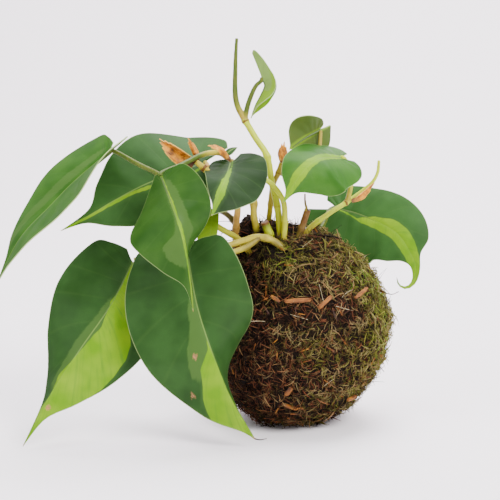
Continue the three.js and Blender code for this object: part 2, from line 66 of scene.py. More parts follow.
# The sockets of a colour Mix node, and two settings that many nodes share.
FACTOR, FROM, TO, MIXED = 0, 6, 7, 2
RGBA = {"data_type": "RGBA"}
SMOOTH = {"interpolation_type": "SMOOTHSTEP"}


def add_node(tree, kind, settings=None, inputs=(), out=0):
    """Adds a shader node with its settings, sets or links its inputs, and gives one of its outputs."""
    node = tree.nodes.new("ShaderNode" + kind)
    for name, value in (settings or {}).items():
        if name == "stops":
            ramp = node.color_ramp.elements
            while len(ramp) < len(value):
                ramp.new(0.5)
            for element, (position, colour) in zip(ramp, value):
                element.position = position
                element.color = (*colour, 1)
        else:
            setattr(node, name, value)
    for key, value in inputs.items() if isinstance(inputs, dict) else enumerate(inputs):
        if isinstance(value, bpy.types.NodeSocket):
            tree.links.new(value, node.inputs[key])
        elif node.inputs[key].type == "RGBA":
            node.inputs[key].default_value = (*value, 1)
        else:
            node.inputs[key].default_value = value
    return node.outputs[out] if len(node.outputs) else None


def start_material(name):
    """A new node material, and the way to add nodes to it."""
    material = bpy.data.materials.new(name)
    material.use_nodes = True
    material.node_tree.nodes.clear()
    return material, functools.partial(add_node, material.node_tree)


def per_mm(size):
    """The scale of a noise on Object coordinates whose features are `size` millimetres."""
    return 1000 / size


def let_light_in(weight, radius):
    """Surface inputs for thin plant tissue that light enters about a millimetre deep."""
    return {"Subsurface Weight": weight, "Subsurface Radius": radius, "Subsurface Scale": 1.0 * MM}


# ---------------------------------------------------------------- meshes


def deselect_all():
    if bpy.context.object and bpy.context.object.mode != "OBJECT":
        bpy.ops.object.mode_set(mode="OBJECT")
    bpy.ops.object.select_all(action="DESELECT")


def activate(piece):
    deselect_all()
    piece.select_set(True)
    bpy.context.view_layer.objects.active = piece


def apply_modifier(piece, kind, **settings):
    activate(piece)
    modifier = piece.modifiers.new(kind, kind)
    for name, value in settings.items():
        setattr(modifier, name, value)
    bpy.ops.object.modifier_apply(modifier=modifier.name)


def edit_mesh(piece, *steps):
    """Runs edit-mode operators on all of a piece."""
    activate(piece)
    bpy.ops.object.mode_set(mode="EDIT")
    bpy.ops.mesh.select_all(action="SELECT")
    for step in steps:
        step()
    bpy.ops.object.mode_set(mode="OBJECT")


def new_form(add, **settings):
    """Adds a primitive and applies its placing."""
    deselect_all()
    add(**settings)
    bpy.ops.object.transform_apply(location=True, rotation=True, scale=True)
    return bpy.context.object


def read(items, key, width=1):
    """One number, or a vector of `width` numbers, from each of the items of a mesh."""
    values = np.empty(width * len(items))
    items.foreach_get(key, values)
    return values.reshape(-1, width) if width > 1 else values


def places_of(mesh):
    return read(mesh.vertices, "co", 3)


def set_places(mesh, places):
    mesh.vertices.foreach_set("co", np.asarray(places, np.float32).ravel())
    mesh.update()


def set_attribute(mesh, name, values):
    attribute = mesh.attributes.get(name) or mesh.attributes.new(name, "FLOAT", "POINT")
    attribute.data.foreach_set("value", np.asarray(values, np.float32).ravel())


def join_into(piece, others):
    activate(piece)
    for other in others:
        other.select_set(True)
    bpy.ops.object.join()
    return piece


def name_piece(piece, name):
    piece.name = name
    piece.data.name = name
    return piece


def settle(piece, slot, *nodes):
    """Lets a finished piece ride with the plant and stand for its CAD nodes."""
    bpy.context.view_layer.update()
    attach(piece, BODY)
    if nodes:
        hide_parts(*nodes)


def dress(piece, material, slot, *nodes):
    """Gives a finished piece its one material and smooth shading, and settles it."""
    piece.data.materials.clear()
    piece.data.materials.append(material)
    activate(piece)
    bpy.ops.object.shade_smooth()
    settle(piece, slot, *nodes)


def smooth_noise(places, size):
    """Smooth noise from -1 to 1 at places in metres, with lumps of `size` millimetres."""
    scale = per_mm(size)
    return np.array([noise.noise(Vector(p) * scale) for p in places])


def unit(vectors):
    return vectors / np.linalg.norm(vectors, axis=-1, keepdims=True)


# ---------------------------------------------------------------- curves


def cubic_between(b, c, leave, arrive, t):
    """Points on the curve from b to c that leaves and arrives in these directions."""
    cubic = 2 * b - 2 * c + leave + arrive
    square = 3 * c - 3 * b - 2 * leave - arrive
    return cubic * t ** 3 + square * t ** 2 + leave * t + b


def run_along(line):
    """How far along a line each of its points lies."""
    return np.concatenate([[0], np.cumsum(np.linalg.norm(np.diff(line, axis=0), axis=1))])


def resample(at, run, values):
    """The vectors at other places along a run."""
    return np.stack([np.interp(at, run, values[:, k]) for k in range(3)], -1)


def through(points, at, ghost=True):
    """Points of a smooth curve through `points`, at shares from 0 to 1 of its spans."""
    p = np.asarray(points, float)
    first = 2 * p[0] - p[1] if ghost else p[0]
    last = 2 * p[-1] - p[-2] if ghost else p[-1]
    p = np.vstack([first, p, last])
    spans = len(p) - 3
    s = np.clip(np.asarray(at, float), 0, 1) * spans
    i = np.minimum(np.floor(s).astype(int), spans - 1)
    a, b, c, d = p[i], p[i + 1], p[i + 2], p[i + 3]
    return cubic_between(b, c, (c - a) / 2, (d - b) / 2, (s - i)[..., None])


def stem_line(points, step):
    """Evenly spaced points on the curve of a stem, `step` millimetres apart, their shares of its
    length, and that length."""
    p = np.asarray(points, float)
    p = np.vstack([2 * p[0] - p[1], p, 2 * p[-1] - p[-2]])
    t = np.linspace(0, 1, 40, endpoint=False)[:, None]
    line = []
    for a, b, c, d in zip(p, p[1:], p[2:], p[3:]):
        near, mid, far = (np.sqrt(np.linalg.norm(v)) for v in (b - a, c - b, d - c))
        leave = mid * ((b - a) / near - (c - a) / (near + mid) + (c - b) / mid)
        arrive = mid * ((c - b) / mid - (d - b) / (mid + far) + (d - c) / far)
        line.append(cubic_between(b, c, leave, arrive, t))
    line = np.vstack([*line, p[-2:-1]])
    run = run_along(line)
    even = np.linspace(0, run[-1], max(3, int(run[-1] / step) + 1))
    return resample(even, run, line), even / run[-1], run[-1]


def tube(name, line, radii, sides=12):
    """A closed round tube along a line in millimetres."""
    curve = bpy.data.curves.new(name, "CURVE")
    curve.dimensions = "3D"
    curve.bevel_depth = MM
    curve.bevel_resolution = max(0, sides // 4 - 1)
    curve.use_fill_caps = True
    spline = curve.splines.new("POLY")
    spline.points.add(len(line) - 1)
    spline.points.foreach_set("co", np.hstack([line * MM, np.ones((len(line), 1))]).ravel())
    spline.points.foreach_set("radius", np.asarray(radii, float))
    piece = bpy.data.objects.new(name, curve)
    bpy.context.scene.collection.objects.link(piece)
    activate(piece)
    bpy.ops.object.convert(target="MESH")
    piece = bpy.context.object
    edit_mesh(
        piece,
        lambda: bpy.ops.mesh.remove_doubles(threshold=1e-6),
        lambda: bpy.ops.mesh.normals_make_consistent(inside=False),
    )
    return piece


# ---------------------------------------------------------------- leaves

VEIN_SWEEP = 2.1    # how far the side veins lean towards the tip
DRIP_SWEEP = 8      # and how much further in a narrow tip
VEIN_CURVE = 1.2
VEINS_A_SIDE = 8


def half_blade(half, lobe, full, drip, fold, curl, **more):
    """One half of a blade, for the table of leaves."""
    return {"half": half, "lobe": lobe, "full": full, "drip": drip, "fold": fold, "curl": curl, **more}


# Each leaf as in the CAD source: the places that its rib passes, the way its upper side faces
# along the rib (bearing and height), and for its left and right half the half width, lobe,
# fullness, tip share, fold at base and tip, and curl. `lime` gives the stripe's two edges as
# (share of the rib, millimetres from it), `veil` a greyer green patch in the same way with its
# edges together (on the far left leaf a painted sheen band), `scars` the blemishes as (share,
# across, size), and `gain` how much lighter or darker the leaf is painted than the others of its
# tone, a painted light and shade for how brightly it is lit.
LEAVES = {
    "leaf_far_left": {
        "tone": "mid",
        "rib": [(-92, -35, 148), (-109, -39, 134), (-122, -43, 121), (-137, -47, 105), (-149, -50, 82)],
        "faces": [(-40, 57), (-40, 42), (-40, 38)],
        "gain": 0.85,
        "left": half_blade(24, 0.05, 0.4, 0.12, (6, -5), -12, cheek=0.9),
        "right": half_blade(20, 0.12, 0.6, 0.06, (30, 14), 2, turn=(0, 0.35)),
        # on this leaf the greyer green band is a painted sheen
        "veil": [(0, -6, -3), (0.3, -9, -2), (0.6, -10, -5), (0.9, -6, -3)],
    },
    "leaf_back_left": {
        "tone": "dark",
        "rib": [(-45.5, -16, 140), (-72.5, -24, 131), (-90, -28.5, 122.5), (-103, -31, 115),
                (-118, -33, 107)],
        "faces": [(-12, 40), (4, 8), (0, 25)],
        "gain": 1.2,
        "left": half_blade(30, 0.2, 0.45, 0.18, (-8, -16), -6, cheek=0.72),
        "right": half_blade(22, 0.05, 0.8, 0.12, (0, -5), -16, cheek=0.8),
        "lime": {"low": [(0, 1.2), (0.1, 3.0), (0.3, 2.2), (0.5, 0.2), (0.8, -0.2), (1, -0.6)],
                 "high": [(0, 2.4), (0.1, 4.7), (0.3, 3.9), (0.5, 1.9), (0.8, 1.2), (1, 0.6)]},
    },
    "leaf_middle": {
        "tone": "mid",
        "rib": [(-65.5, -52, 137), (-59, -60, 121.5), (-54, -65, 106), (-51, -67, 89),
                (-49.5, -66, 71.5)],
        "faces": [(-25, 16), (18, 17), (0, 11)],
        "gain": 0.62,
        "left": half_blade(27, 0.03, 0.8, 0.14, (-12, -20), -20, cheek=0.2),
        "right": half_blade(20, 0.03, 0.6, 0.24, (-5, -85), -20, cheek=0.8),
        "lime": {"low": [(0, -0.3), (0.5, -0.4), (0.75, -0.5), (1, -0.2)],
                 "high": [(0, 0.8), (0.3, 1.1), (0.5, 1.5), (0.6, 1.3), (0.75, 1.1), (1, 0.3)]},
        "veil": [(0.03, 0, 3.5), (0.12, -1, 5), (0.33, -1.5, 6), (0.43, -3, 8.2), (0.5, -11, 6),
                 (0.6, -10, 2), (0.68, -4, 0)],
    },
    "leaf_low_left": {
        "tone": "dark",
        "rib": [(-81.5, -30, 90.5), (-92.5, -38, 69.5), (-107.5, -47, 48.5), (-121, -56, 28.5),
                (-135, -66, 3)],
        "faces": [(-15, 25), (5, 14), (-5, 18)],
        "left": half_blade(34, 0.05, 0.15, 0.17, (-3, -55), -18, cheek=0.95),
        "right": half_blade(30, 0.17, 0.6, 0.11, (7, -6), -10),
        "lime": {"low": [(0, -0.6), (0.07, -0.2), (0.14, 0.2), (0.21, -1), (0.28, 0.6), (0.34, 2),
                         (0.4, 1.5), (0.5, 0.2), (0.57, -0.5), (0.63, -2.5), (0.73, 0), (0.85, -3),
                         (1, -4)],
                 "high": [(0, 4), (0.1, 7), (0.17, 9), (0.23, 12), (0.29, 16), (0.33, 20),
                          (0.4, 22.4), (0.5, 22), (0.58, 20.5), (0.68, 16), (0.8, 10), (1, 8)]},
        "veil": [(0.2, -3, 3), (0.35, -4, 4), (0.5, -5, 2), (0.7, -5, 1)],
        "scars": [(0.79, 2, 1.5)],
    },
    "leaf_low_front": {
        "tone": "dark",
        "rib": [(-53, -44, 97.5), (-48, -54, 72.5), (-40, -60, 48.5), (-30, -62, 24), (-19, -60, 5)],
        "faces": [(-14, 11), (12, 18), (0, 13)],
        "left": half_blade(37, 0.08, 0.7, 0.03, (4, -20), -16, cheek=0.9),
        "right": half_blade(28, 0.05, 0.8, 0.12, (14, -75), -14, cheek=0.9),
        "lime": {"low": [(0.42, 0), (0.49, -1.5), (0.57, -8.7), (0.64, -10.2), (0.71, -13.2),
                         (0.78, -14.2), (0.9, -14), (1, -14)],
                 "high": [(0.42, -0.5), (0.5, 0), (0.7, 0.5), (1, 6)]},
        "veil": [(0.2, -2, 0), (0.28, -5.5, 0), (0.38, -7, 0), (0.46, -11.5, 0), (0.55, -14, 0),
                 (0.62, -14, 0)],
        "scars": [(0.5, -8.8, 1.5), (0.68, -17.4, 1.4)],
    },
    "leaf_shoulder": {
        "tone": "dark",
        "rib": [(-31.5, -21, 140.5), (-33.5, -33, 135), (-36.5, -43, 128.5), (-41, -50, 117)],
        "faces": [(-15, 60), (15, 32), (8, 16)],
        "gain": 0.5,
        "left": half_blade(12, 0.08, 0.5, 0.1, (2, 2), -12),
        "right": half_blade(20, 0.22, 1, 0.02, (5, 5), -11),
        "lime": {"low": [(0, 0.8), (0.1, 1.2), (0.24, -0.2), (0.45, -1.5), (0.7, -1.6), (1, -0.6)],
                 "high": [(0, 1.2), (0.14, 1.6), (0.46, 2), (0.67, 2.8), (0.83, 1.8), (1, 1)]},
    },
    "leaf_hidden": {
        "tone": "pale",
        "rib": [(-40.5, -32, 116.5), (-41.5, -37, 106), (-42.5, -39, 92), (-41, -38, 78)],
        "faces": [(0, 5), (0, 5)],
        "left": half_blade(7, 0.1, 0.5, 0.1, (2, 2), -8),
        "right": half_blade(3.5, 0.1, 0.5, 0.1, (2, 2), -8),
        "lime": {"low": [(0, -20), (1, -20)], "high": [(0, 4), (1, 4)]},
    },
    "leaf_right_upper": {
        "tone": "mid",
        "rib": [(25.5, -14, 142.5), (14, -24, 143), (4.5, -31, 136), (-5, -33, 121)],
        "faces": [(0, 51), (0, 46), (0, 28)],
        "left": half_blade(18, 0.17, 0.8, 0.1, (-4, 0), -24),
        "right": half_blade(22, 0.15, 1.2, 0.13, (0, -25), -22, cheek=0.82),
        "lime": {"low": [(0, -2), (0.12, -3.2), (0.37, -3.1), (0.54, -3.7), (0.68, -3.4), (0.8, -2.4),
                         (1, -2)],
                 "high": [(0, 1.2), (0.28, 2), (0.49, 2), (0.63, 2.6), (0.77, 2.1), (1, 1)]},
    },
    "leaf_top_back": {
        "tone": "mid",
        "rib": [(15, 4, 155.5), (7, -1, 151.5), (-1, -6, 146)],
        "faces": [(172, 28), (172, 18)],
        "left": half_blade(15, 0.35, 0.5, 0.08, (-4, 3), -20, cheek=0.8, inner=0.3),
        "right": half_blade(14, 0.12, 1.3, 0.05, (-10, 5), -20, cheek=0.62, inner=0.5),
        "lime": {"low": [(0, -1.5), (1, -1.5)], "high": [(0, 1.5), (1, 1.5)]},
    },
    "leaf_right": {
        "tone": "dark",
        "rib": [(26.5, 35, 109.5), (40, 32.5, 106), (58, 26, 97.5), (67, 20, 84), (68.5, 18, 76),
                (66.5, 17.2, 70.5), (62.5, 17, 68.5), (59, 17, 70.5), (58, 17, 74.5)],
        "faces": [(12, 14), (0, 10), (0, 10), (0, 10)],
        "gain": 1.5,
        "left": half_blade(22.5, 0.2, 1.3, 0.28, (3, -5), -12),
        "right": half_blade(18, 0.09, 1.6, 0.28, (-4, 10), -20, cheek=0.8),
        "lime": {"low": [(0, -0.5), (0.18, -4.1), (0.43, -4.3), (0.56, -4), (0.66, -3.8), (0.75, -2.5),
                         (0.85, -4), (1, -4)],
                 "high": [(0, 0.5), (0.15, -2.6), (0.26, 2.2), (0.39, 5.2), (0.5, 5.7), (0.62, 4.1),
                          (0.74, 2), (0.85, 4), (1, 4)]},
    },
    "leaf_young": {
        "tone": "pale",
        "rib": [(-15.5, -14, 184), (-13.5, -15, 180), (-15.5, -15, 175), (-18.5, -15, 169.5),
                (-21, -15, 163)],
        "faces": [(75, 0), (75, 0)],
        "left": half_blade(7, 0.6, 0.5, 0.05, (65, 25), 10, turn=(0, 0.8)),
        "right": half_blade(6, 0.35, 0.8, 0.05, (50, 55), 10),
        "lime": {"low": [(0, -20), (1, -20)],
                 "high": [(0, -6.5), (0.15, -5), (0.3, -3.5), (0.4, 20), (1, 20)]},
    },
    "leaf_small_tip": {
        "tone": "dark",
        "rib": [(-34.5, -14, 143.5), (-31.5, -12, 146), (-28, -10, 147.5)],
        "faces": [(0, 50), (0, 50)],
        "left": {"half": 2, "fold": (0, 0), "curl": -10},
        "right": {"half": 2, "fold": (0, 0), "curl": -10},
        "lance": True,
    },
}

# The dry sheaths: rib, facing, half width, fold and curl.
SHEATHS = {
    "sheath_left": ([(-50, -28, 141), (-58.5, -31, 146.5), (-67, -33, 153.5)], (20, -25), 5.5, 20, 50),
    "sheath_stalk": ([(-48, -27.8, 142.5), (-49.5, -27, 147.5), (-53, -27, 153.5)], (0, 25), 2.4, -20,
                     -60),
    "sheath_node": ([(-31.5, -16, 142), (-36, -19, 147.5), (-42.5, -22, 149.5)], (20, 50), 3, -10, -40),
    "sheath_centre": ([(-4.5, -9, 139.5), (-4.5, -10, 145), (-4, -10, 150)], (0, 0), 3, -10, -50),
    "sheath_right": ([(32, 0.5, 118), (37.5, 1.5, 121.5), (44, 2.5, 127.5)], (20, -25), 2.4, 10, 50),
}


def heart_edge(lobe, full, drip, cheek=1, inner=None, **_):
    """Half of a heart-shaped outline, from the back of the lobe to the tip."""
    inner = cheek if inner is None else inner
    body = 1 - drip
    return [
        (-0.95 * lobe, 0.2 * inner),
        (-lobe, 0.5 * inner),
        (-0.5 * lobe, 0.84 * cheek),
        (0.15 * body, 0.5 + 0.5 * cheek),
        (0.38 * body, 0.88 + 0.12 * full),
        (0.6 * body, 0.62 + 0.26 * full),
        (0.8 * body, 0.3 + 0.26 * full),
        (0.95 * body, 0.08 + 0.06 * full),
        (1, 0),
    ]


LANCE_EDGE = [(0, 0.45), (0.15, 0.75), (0.4, 1), (0.65, 0.8), (0.85, 0.38), (1, 0)]


def facing(bearing, height):
    b, h = math.radians(bearing), math.radians(height)
    return np.array([math.sin(b) * math.cos(h), -math.cos(b) * math.cos(h), math.sin(h)])


def rib_frame(leaf, share):
    """Place, direction and upward normal on a leaf's rib, and the rib's length."""
    fine = np.linspace(0, 1, 401)
    place = through(leaf["rib"], fine)
    run = run_along(place)
    slope = unit(np.gradient(place, axis=0))
    at = np.interp(share, run / run[-1], fine)
    place = resample(at, fine, place)
    tangent = unit(resample(at, fine, slope))
    faces = np.array([facing(*f) for f in leaf["faces"]])
    position = share * (len(faces) - 1)
    i = np.minimum(np.floor(position).astype(int), len(faces) - 2)
    normal = faces[i] + (faces[i + 1] - faces[i]) * (position - i)[:, None]
    normal = unit(normal - tangent * (normal * tangent).sum(1)[:, None])
    return place, tangent, normal, run[-1]


def lay_blade(leaf, row, side):
    """Where the points of a blade lie, their outward normals, and the measures that its colours use."""
    place, outward = np.zeros((2, len(row), 3))
    share_of, across_of, width_of = np.zeros((3, len(row)))
    lance = leaf.get("lance", False)
    drip = 0 if lance else (leaf["left"]["drip"] + leaf["right"]["drip"]) / 2
    for sign, half, these in ((-1, leaf["left"], side < 0), (1, leaf["right"], side >= 0)):
        r, out = row[these], np.abs(side[these])
        edge = through(LANCE_EDGE if lance else heart_edge(**half), r, ghost=False)
        foot = (1 - drip) * r ** VEIN_SWEEP + drip * r ** DRIP_SWEEP
        weight = out ** VEIN_CURVE
        along = foot * (1 - weight) + edge[:, 0] * weight
        across = edge[:, 1] * half["half"] * out
        share = np.clip(along, 0, 1)
        p, tangent, normal, length = rib_frame(leaf, share)
        p = p + tangent * (np.minimum(along, 0) * length)[:, None]
        right = np.cross(normal, tangent)
        low, high = half.get("turn", (0.25, 0.75))
        t = np.clip((share - low) / (high - low), 0, 1)
        base, tip = half["fold"]
        start = np.radians(base + (tip - base) * t * t * (3 - 2 * t))
        bend = math.radians(half["curl"]) / half["half"]
        end = start + bend * across
        place[these] = (
            p + right * (sign * (np.sin(end) - np.sin(start)) / bend)[:, None]
            + normal * ((np.cos(start) - np.cos(end)) / bend)[:, None]
        )
        outward[these] = normal * np.cos(end)[:, None] - right * (sign * np.sin(end))[:, None]
        share_of[these] = along
        across_of[these] = sign * across
        width_of[these] = edge[:, 1] * half["half"]
    return place, outward, share_of, across_of, width_of


def between(pairs, share):
    """The value at a share, between (share, value) pairs."""
    shares, values = zip(*pairs)
    return np.interp(share, shares, values)


def blade_mesh(name, leaf, columns, rows, thickness, quilt, materials):
    """A closed thin blade, with the measures for its colours on its points."""
    piece = name_piece(new_form(
        bpy.ops.mesh.primitive_grid_add, x_subdivisions=columns, y_subdivisions=rows, size=2,
    ), name)
    mesh = piece.data
    flat = places_of(mesh)
    side = np.sign(flat[:, 0]) * np.abs(flat[:, 0]) ** 1.25
    row = (1 - flat[:, 1]) / 2
    place, outward, share, across, width = lay_blade(leaf, row, side)
    out = np.abs(side)
    seed = 10 * (sum(map(ord, name)) % 7)
    size = min(1, leaf["left"]["half"] / 20)
    ridges = np.cos(2 * np.pi * VEINS_A_SIDE * row) * 4 * out * (1 - out) * (1 - row ** 4)
    groove = np.exp(-(across / 0.8) ** 2) * (1 - np.clip(share, 0, 1))
    sway = out ** 2 * np.sin(2 * np.pi * (2.3 * row + seed / 17 + 0.2 * np.sign(side))) * (1 - row ** 3)
    lift = -quilt * ridges - 1.6 * quilt * groove + 2.4 * quilt * sway
    set_places(mesh, (place + outward * (size * lift)[:, None]) * MM)
    nowhere = np.full(len(row), -30.0)
    lime = leaf.get("lime")
    veil = np.zeros(len(row))
    if leaf.get("veil"):
        shares, low, high = map(np.array, zip(*leaf["veil"]))
        depth = np.minimum(across - np.interp(share, shares, low), np.interp(share, shares, high) - across)
        ends = np.minimum(share - shares[0], shares[-1] - share) * 12
        veil = np.clip(0.5 + 0.35 * depth, 0, 1) * np.clip(0.5 + ends, 0, 1)
    scar = np.zeros(len(row))
    length = rib_frame(leaf, np.zeros(1))[3]
    for at, off, radius in leaf.get("scars", []):
        distance = np.hypot((share - at) * length, across - off)
        scar = np.maximum(scar, np.clip(1.6 - distance / radius, 0, 1))
    measures = {
        "row": row,
        "share": share,
        "across": across,
        "gain": share * 0 + leaf.get("gain", 1),
        "margin": (1 - out) * width + 40 * np.clip(0.98 - share, 0, 0.02) * (out < 1),
        "lime_low": across - between(lime["low"], share) if lime else nowhere,
        "lime_high": between(lime["high"], share) - across if lime else nowhere,
        "veil": veil,
        "scar": scar,
    }
    for key, values in measures.items():
        set_attribute(mesh, key, values)
    for material in materials:
        mesh.materials.append(material)
    edit_mesh(piece, lambda: bpy.ops.mesh.remove_doubles(threshold=2e-6))
    apply_modifier(
        piece, "SOLIDIFY", thickness=thickness, offset=0, material_offset=1, material_offset_rim=2,
    )
    activate(piece)
    bpy.ops.object.shade_smooth_by_angle(angle=math.radians(50))
    return piece


def under_rib(leaf, radius):
    """The raised midrib on the underside of a blade."""
    share = np.linspace(0, 0.9, 60)
    place, _, normal, _ = rib_frame(leaf, share)
    radii = radius * (1 - share) ** 0.8 + 0.12
    return tube("under_rib", place - normal * (0.55 * radii + 0.12)[:, None], radii, sides=8)


# ---------------------------------------------------------------- leaf materials


def leaf_upper_side(name, deep, light, props):
    """Philodendron leaf, upper side: a waxy skin, satin rather than glossy, in mottled green with a
    lime stripe whose edge breaks up along the side veins, a pale midrib and a thin pale rim."""
    material, add = start_material(name)
    field = {
        key: add("Attribute", {"attribute_name": key}, out="Fac")
        for key in ("row", "share", "across", "margin", "gain", "lime_low", "lime_high", "veil", "scar")
    }
    spot = add("TexCoord", out="Object")
    streak_row = add("Math", {"operation": "MULTIPLY"}, [field["row"], 62.0])
    streak_across = add("Math", {"operation": "MULTIPLY"}, [field["across"], 0.09])
    streak_spot = add("CombineXYZ", {}, [streak_row, streak_across])
    streaks = add("TexNoise", {}, {"Vector": streak_spot, "Scale": 1.0, "Detail": 3.0})
    broad_streaks = add("TexNoise", {}, {"Vector": streak_spot, "Scale": 0.27, "Detail": 2.0})
    clouds = add("TexNoise", {}, {"Vector": spot, "Scale": per_mm(14), "Detail": 2.0})
    cells = add("TexNoise", {}, {"Vector": spot, "Scale": per_mm(0.7), "Detail": 2.0})

    # dark and light green in clouds and in faint streaks along the side veins
    cloudy = add("MapRange", {}, [clouds, 0.35, 0.65])
    faint = add("MapRange", {}, [broad_streaks, 0.3, 0.75, 0.0, 0.3])
    grainy = add("MapRange", {}, [cells, 0.3, 0.7, 0.0, 0.22])
    green = deep
    for part, other in ((cloudy, light), (faint, light), (grainy, deep)):
        green = add("Mix", RGBA, {FACTOR: part, FROM: green, TO: other}, MIXED)
    # how light this leaf is beside the others: a painted light and shade for how brightly it is lit
    green = add("HueSaturation", {}, {"Value": field["gain"], "Color": green})

    # the greyer green patches beside the stripe, and on the far left leaf a painted sheen band
    veil_edge = add("Math", {"operation": "MULTIPLY_ADD"}, [streaks, 0.9, -0.45])
    veil_depth = add("Math", {"operation": "ADD"}, [field["veil"], veil_edge])
    veiled = add("MapRange", SMOOTH, [veil_depth, 0.35, 0.75, 0.0, 0.8])
    green = add("Mix", RGBA, {FACTOR: veiled, FROM: green, TO: props.veil}, MIXED)

    # the lime stripe, broken up along the veins at its edges
    inside = add("Math", {"operation": "MINIMUM"}, [field["lime_low"], field["lime_high"]])
    jag = add("Math", {"operation": "MULTIPLY_ADD"}, [broad_streaks, 1.6, -0.8])
    inside = add("Math", {"operation": "ADD"}, [inside, jag])
    halo = add("MapRange", SMOOTH, [inside, -2.2, 0.2, 0.0, 0.35])
    green = add("Mix", RGBA, {FACTOR: halo, FROM: green, TO: props.veil}, MIXED)
    striped = add("MapRange", SMOOTH, [inside, -0.15, 0.3])
    lime = add("Mix", RGBA, {FACTOR: cloudy, FROM: props.lime, TO: props.lime_pale}, MIXED)
    lime_streaks = add("MapRange", {}, [streaks, 0.5, 0.75, 0.0, 0.5])
    lime = add("Mix", RGBA, {FACTOR: lime_streaks, FROM: lime, TO: props.mid_light}, MIXED)
    colour = add("Mix", RGBA, {FACTOR: striped, FROM: green, TO: lime}, MIXED)

    # side veins, midrib and rim
    veins = add("Math", {"operation": "MULTIPLY"}, [field["row"], float(VEINS_A_SIDE)])
    veins = add("Math", {"operation": "PINGPONG"}, [veins, 0.5])
    vein_line = add("MapRange", SMOOTH, [veins, 0.0, 0.07, 0.12, 0.0])
    off_rib = add("Math", {"operation": "ABSOLUTE"}, [field["across"]])
    rib_width = add("MapRange", {}, [field["share"], 0.0, 1.0, 1.0, 0.35])
    rib_line = add("Math", {"operation": "DIVIDE"}, [off_rib, rib_width])
    rib_line = add("MapRange", SMOOTH, [rib_line, 0.2, 0.6, 0.45, 0.0])
    off_stripe = add("MapRange", {}, [striped, 0.0, 1.0, 1.0, 0.25])
    rib_line = add("Math", {"operation": "MULTIPLY"}, [rib_line, off_stripe])
    rim = add("MapRange", SMOOTH, [field["margin"], 0.2, 0.5, 0.5, 0.0])

    # scars and the dry tip
    scar = add("Math", {"operation": "MULTIPLY"}, [field["scar"], cells])
    scar = add("MapRange", {}, [scar, 0.2, 0.5])
    dry = add("MapRange", {}, [field["share"], 0.975, 0.996])
    for part, other in (
        (vein_line, props.veil), (rib_line, props.vein), (rim, props.rim),
        (scar, srgb("#9a6a4a")), (dry, srgb("#8a6a3a")),
    ):
        colour = add("Mix", RGBA, {FACTOR: part, FROM: colour, TO: other}, MIXED)

    height = add("Math", {"operation": "MULTIPLY_ADD"}, [vein_line, -5.0, cells])
    bump = add("Bump", {}, {"Strength": 0.18, "Distance": 0.15 * MM, "Height": height})
    satin = add("MapRange", {}, [clouds, 0.3, 0.7, 0.4, 0.52])
    surface = add("BsdfPrincipled", {}, {
        "Base Color": colour, "Roughness": satin, "IOR": 1.42, "Normal": bump, "Specular IOR Level": 0.1,
        **let_light_in(0.08, (0.6, 1.0, 0.3)),
    })
    add("OutputMaterial", {}, {"Surface": surface})
    return material


def leaf_underside(name, colour, vein, stripe):
    """The same leaf from below: paler, matte, and with its veins standing out."""
    material, add = start_material(name)
    spot = add("TexCoord", out="Object")
    row = add("Attribute", {"attribute_name": "row"}, out="Fac")
    veins = add("Math", {"operation": "MULTIPLY"}, [row, float(VEINS_A_SIDE)])
    veins = add("Math", {"operation": "PINGPONG"}, [veins, 0.5])
    vein_line = add("MapRange", SMOOTH, [veins, 0.0, 0.1, 0.14, 0.0])
    clouds = add("TexNoise", {}, {"Vector": spot, "Scale": per_mm(9), "Detail": 3.0})
    cells = add("TexNoise", {}, {"Vector": spot, "Scale": per_mm(0.6), "Detail": 2.0})
    cloudy = add("MapRange", {}, [clouds, 0.3, 0.7, 0.0, 0.35])
    low = add("Attribute", {"attribute_name": "lime_low"}, out="Fac")
    high = add("Attribute", {"attribute_name": "lime_high"}, out="Fac")
    inside = add("Math", {"operation": "MINIMUM"}, [low, high])
    striped = add("MapRange", SMOOTH, [inside, -0.8, 0.8, 0.0, 0.85])
    tone = colour
    for part, other in ((cloudy, vein), (vein_line, vein), (striped, stripe)):
        tone = add("Mix", RGBA, {FACTOR: part, FROM: tone, TO: other}, MIXED)
    height = add("Math", {"operation": "MULTIPLY_ADD"}, [vein_line, 2.0, cells])
    bump = add("Bump", {}, {"Strength": 0.3, "Distance": 0.15 * MM, "Height": height})
    surface = add("BsdfPrincipled", {}, {
        "Base Color": tone, "Roughness": 0.6, "IOR": 1.42, "Normal": bump, "Specular IOR Level": 0.25,
        **let_light_in(0.15, (0.6, 1.0, 0.3)),
    })
    add("OutputMaterial", {}, {"Surface": surface})
    return material


def soft_rind(name, colour, other, size):
    """Leaf margin or rib: thin, slightly translucent plant tissue, pale with faint mottling."""
    material, add = start_material(name)
    spot = add("TexCoord", out="Object")
    clouds = add("TexNoise", {}, {"Vector": spot, "Scale": per_mm(size), "Detail": 3.0})
    tone = add("Mix", RGBA, {FACTOR: clouds, FROM: colour, TO: other}, MIXED)
    bump = add("Bump", {}, {"Strength": 0.2, "Distance": 0.1 * MM, "Height": clouds})
    surface = add("BsdfPrincipled", {}, {
        "Base Color": tone, "Roughness": 0.45, "IOR": 1.42, "Normal": bump,
        **let_light_in(0.1, (0.8, 1.0, 0.4)),
    })
    add("OutputMaterial", {}, {"Surface": surface})
    return material


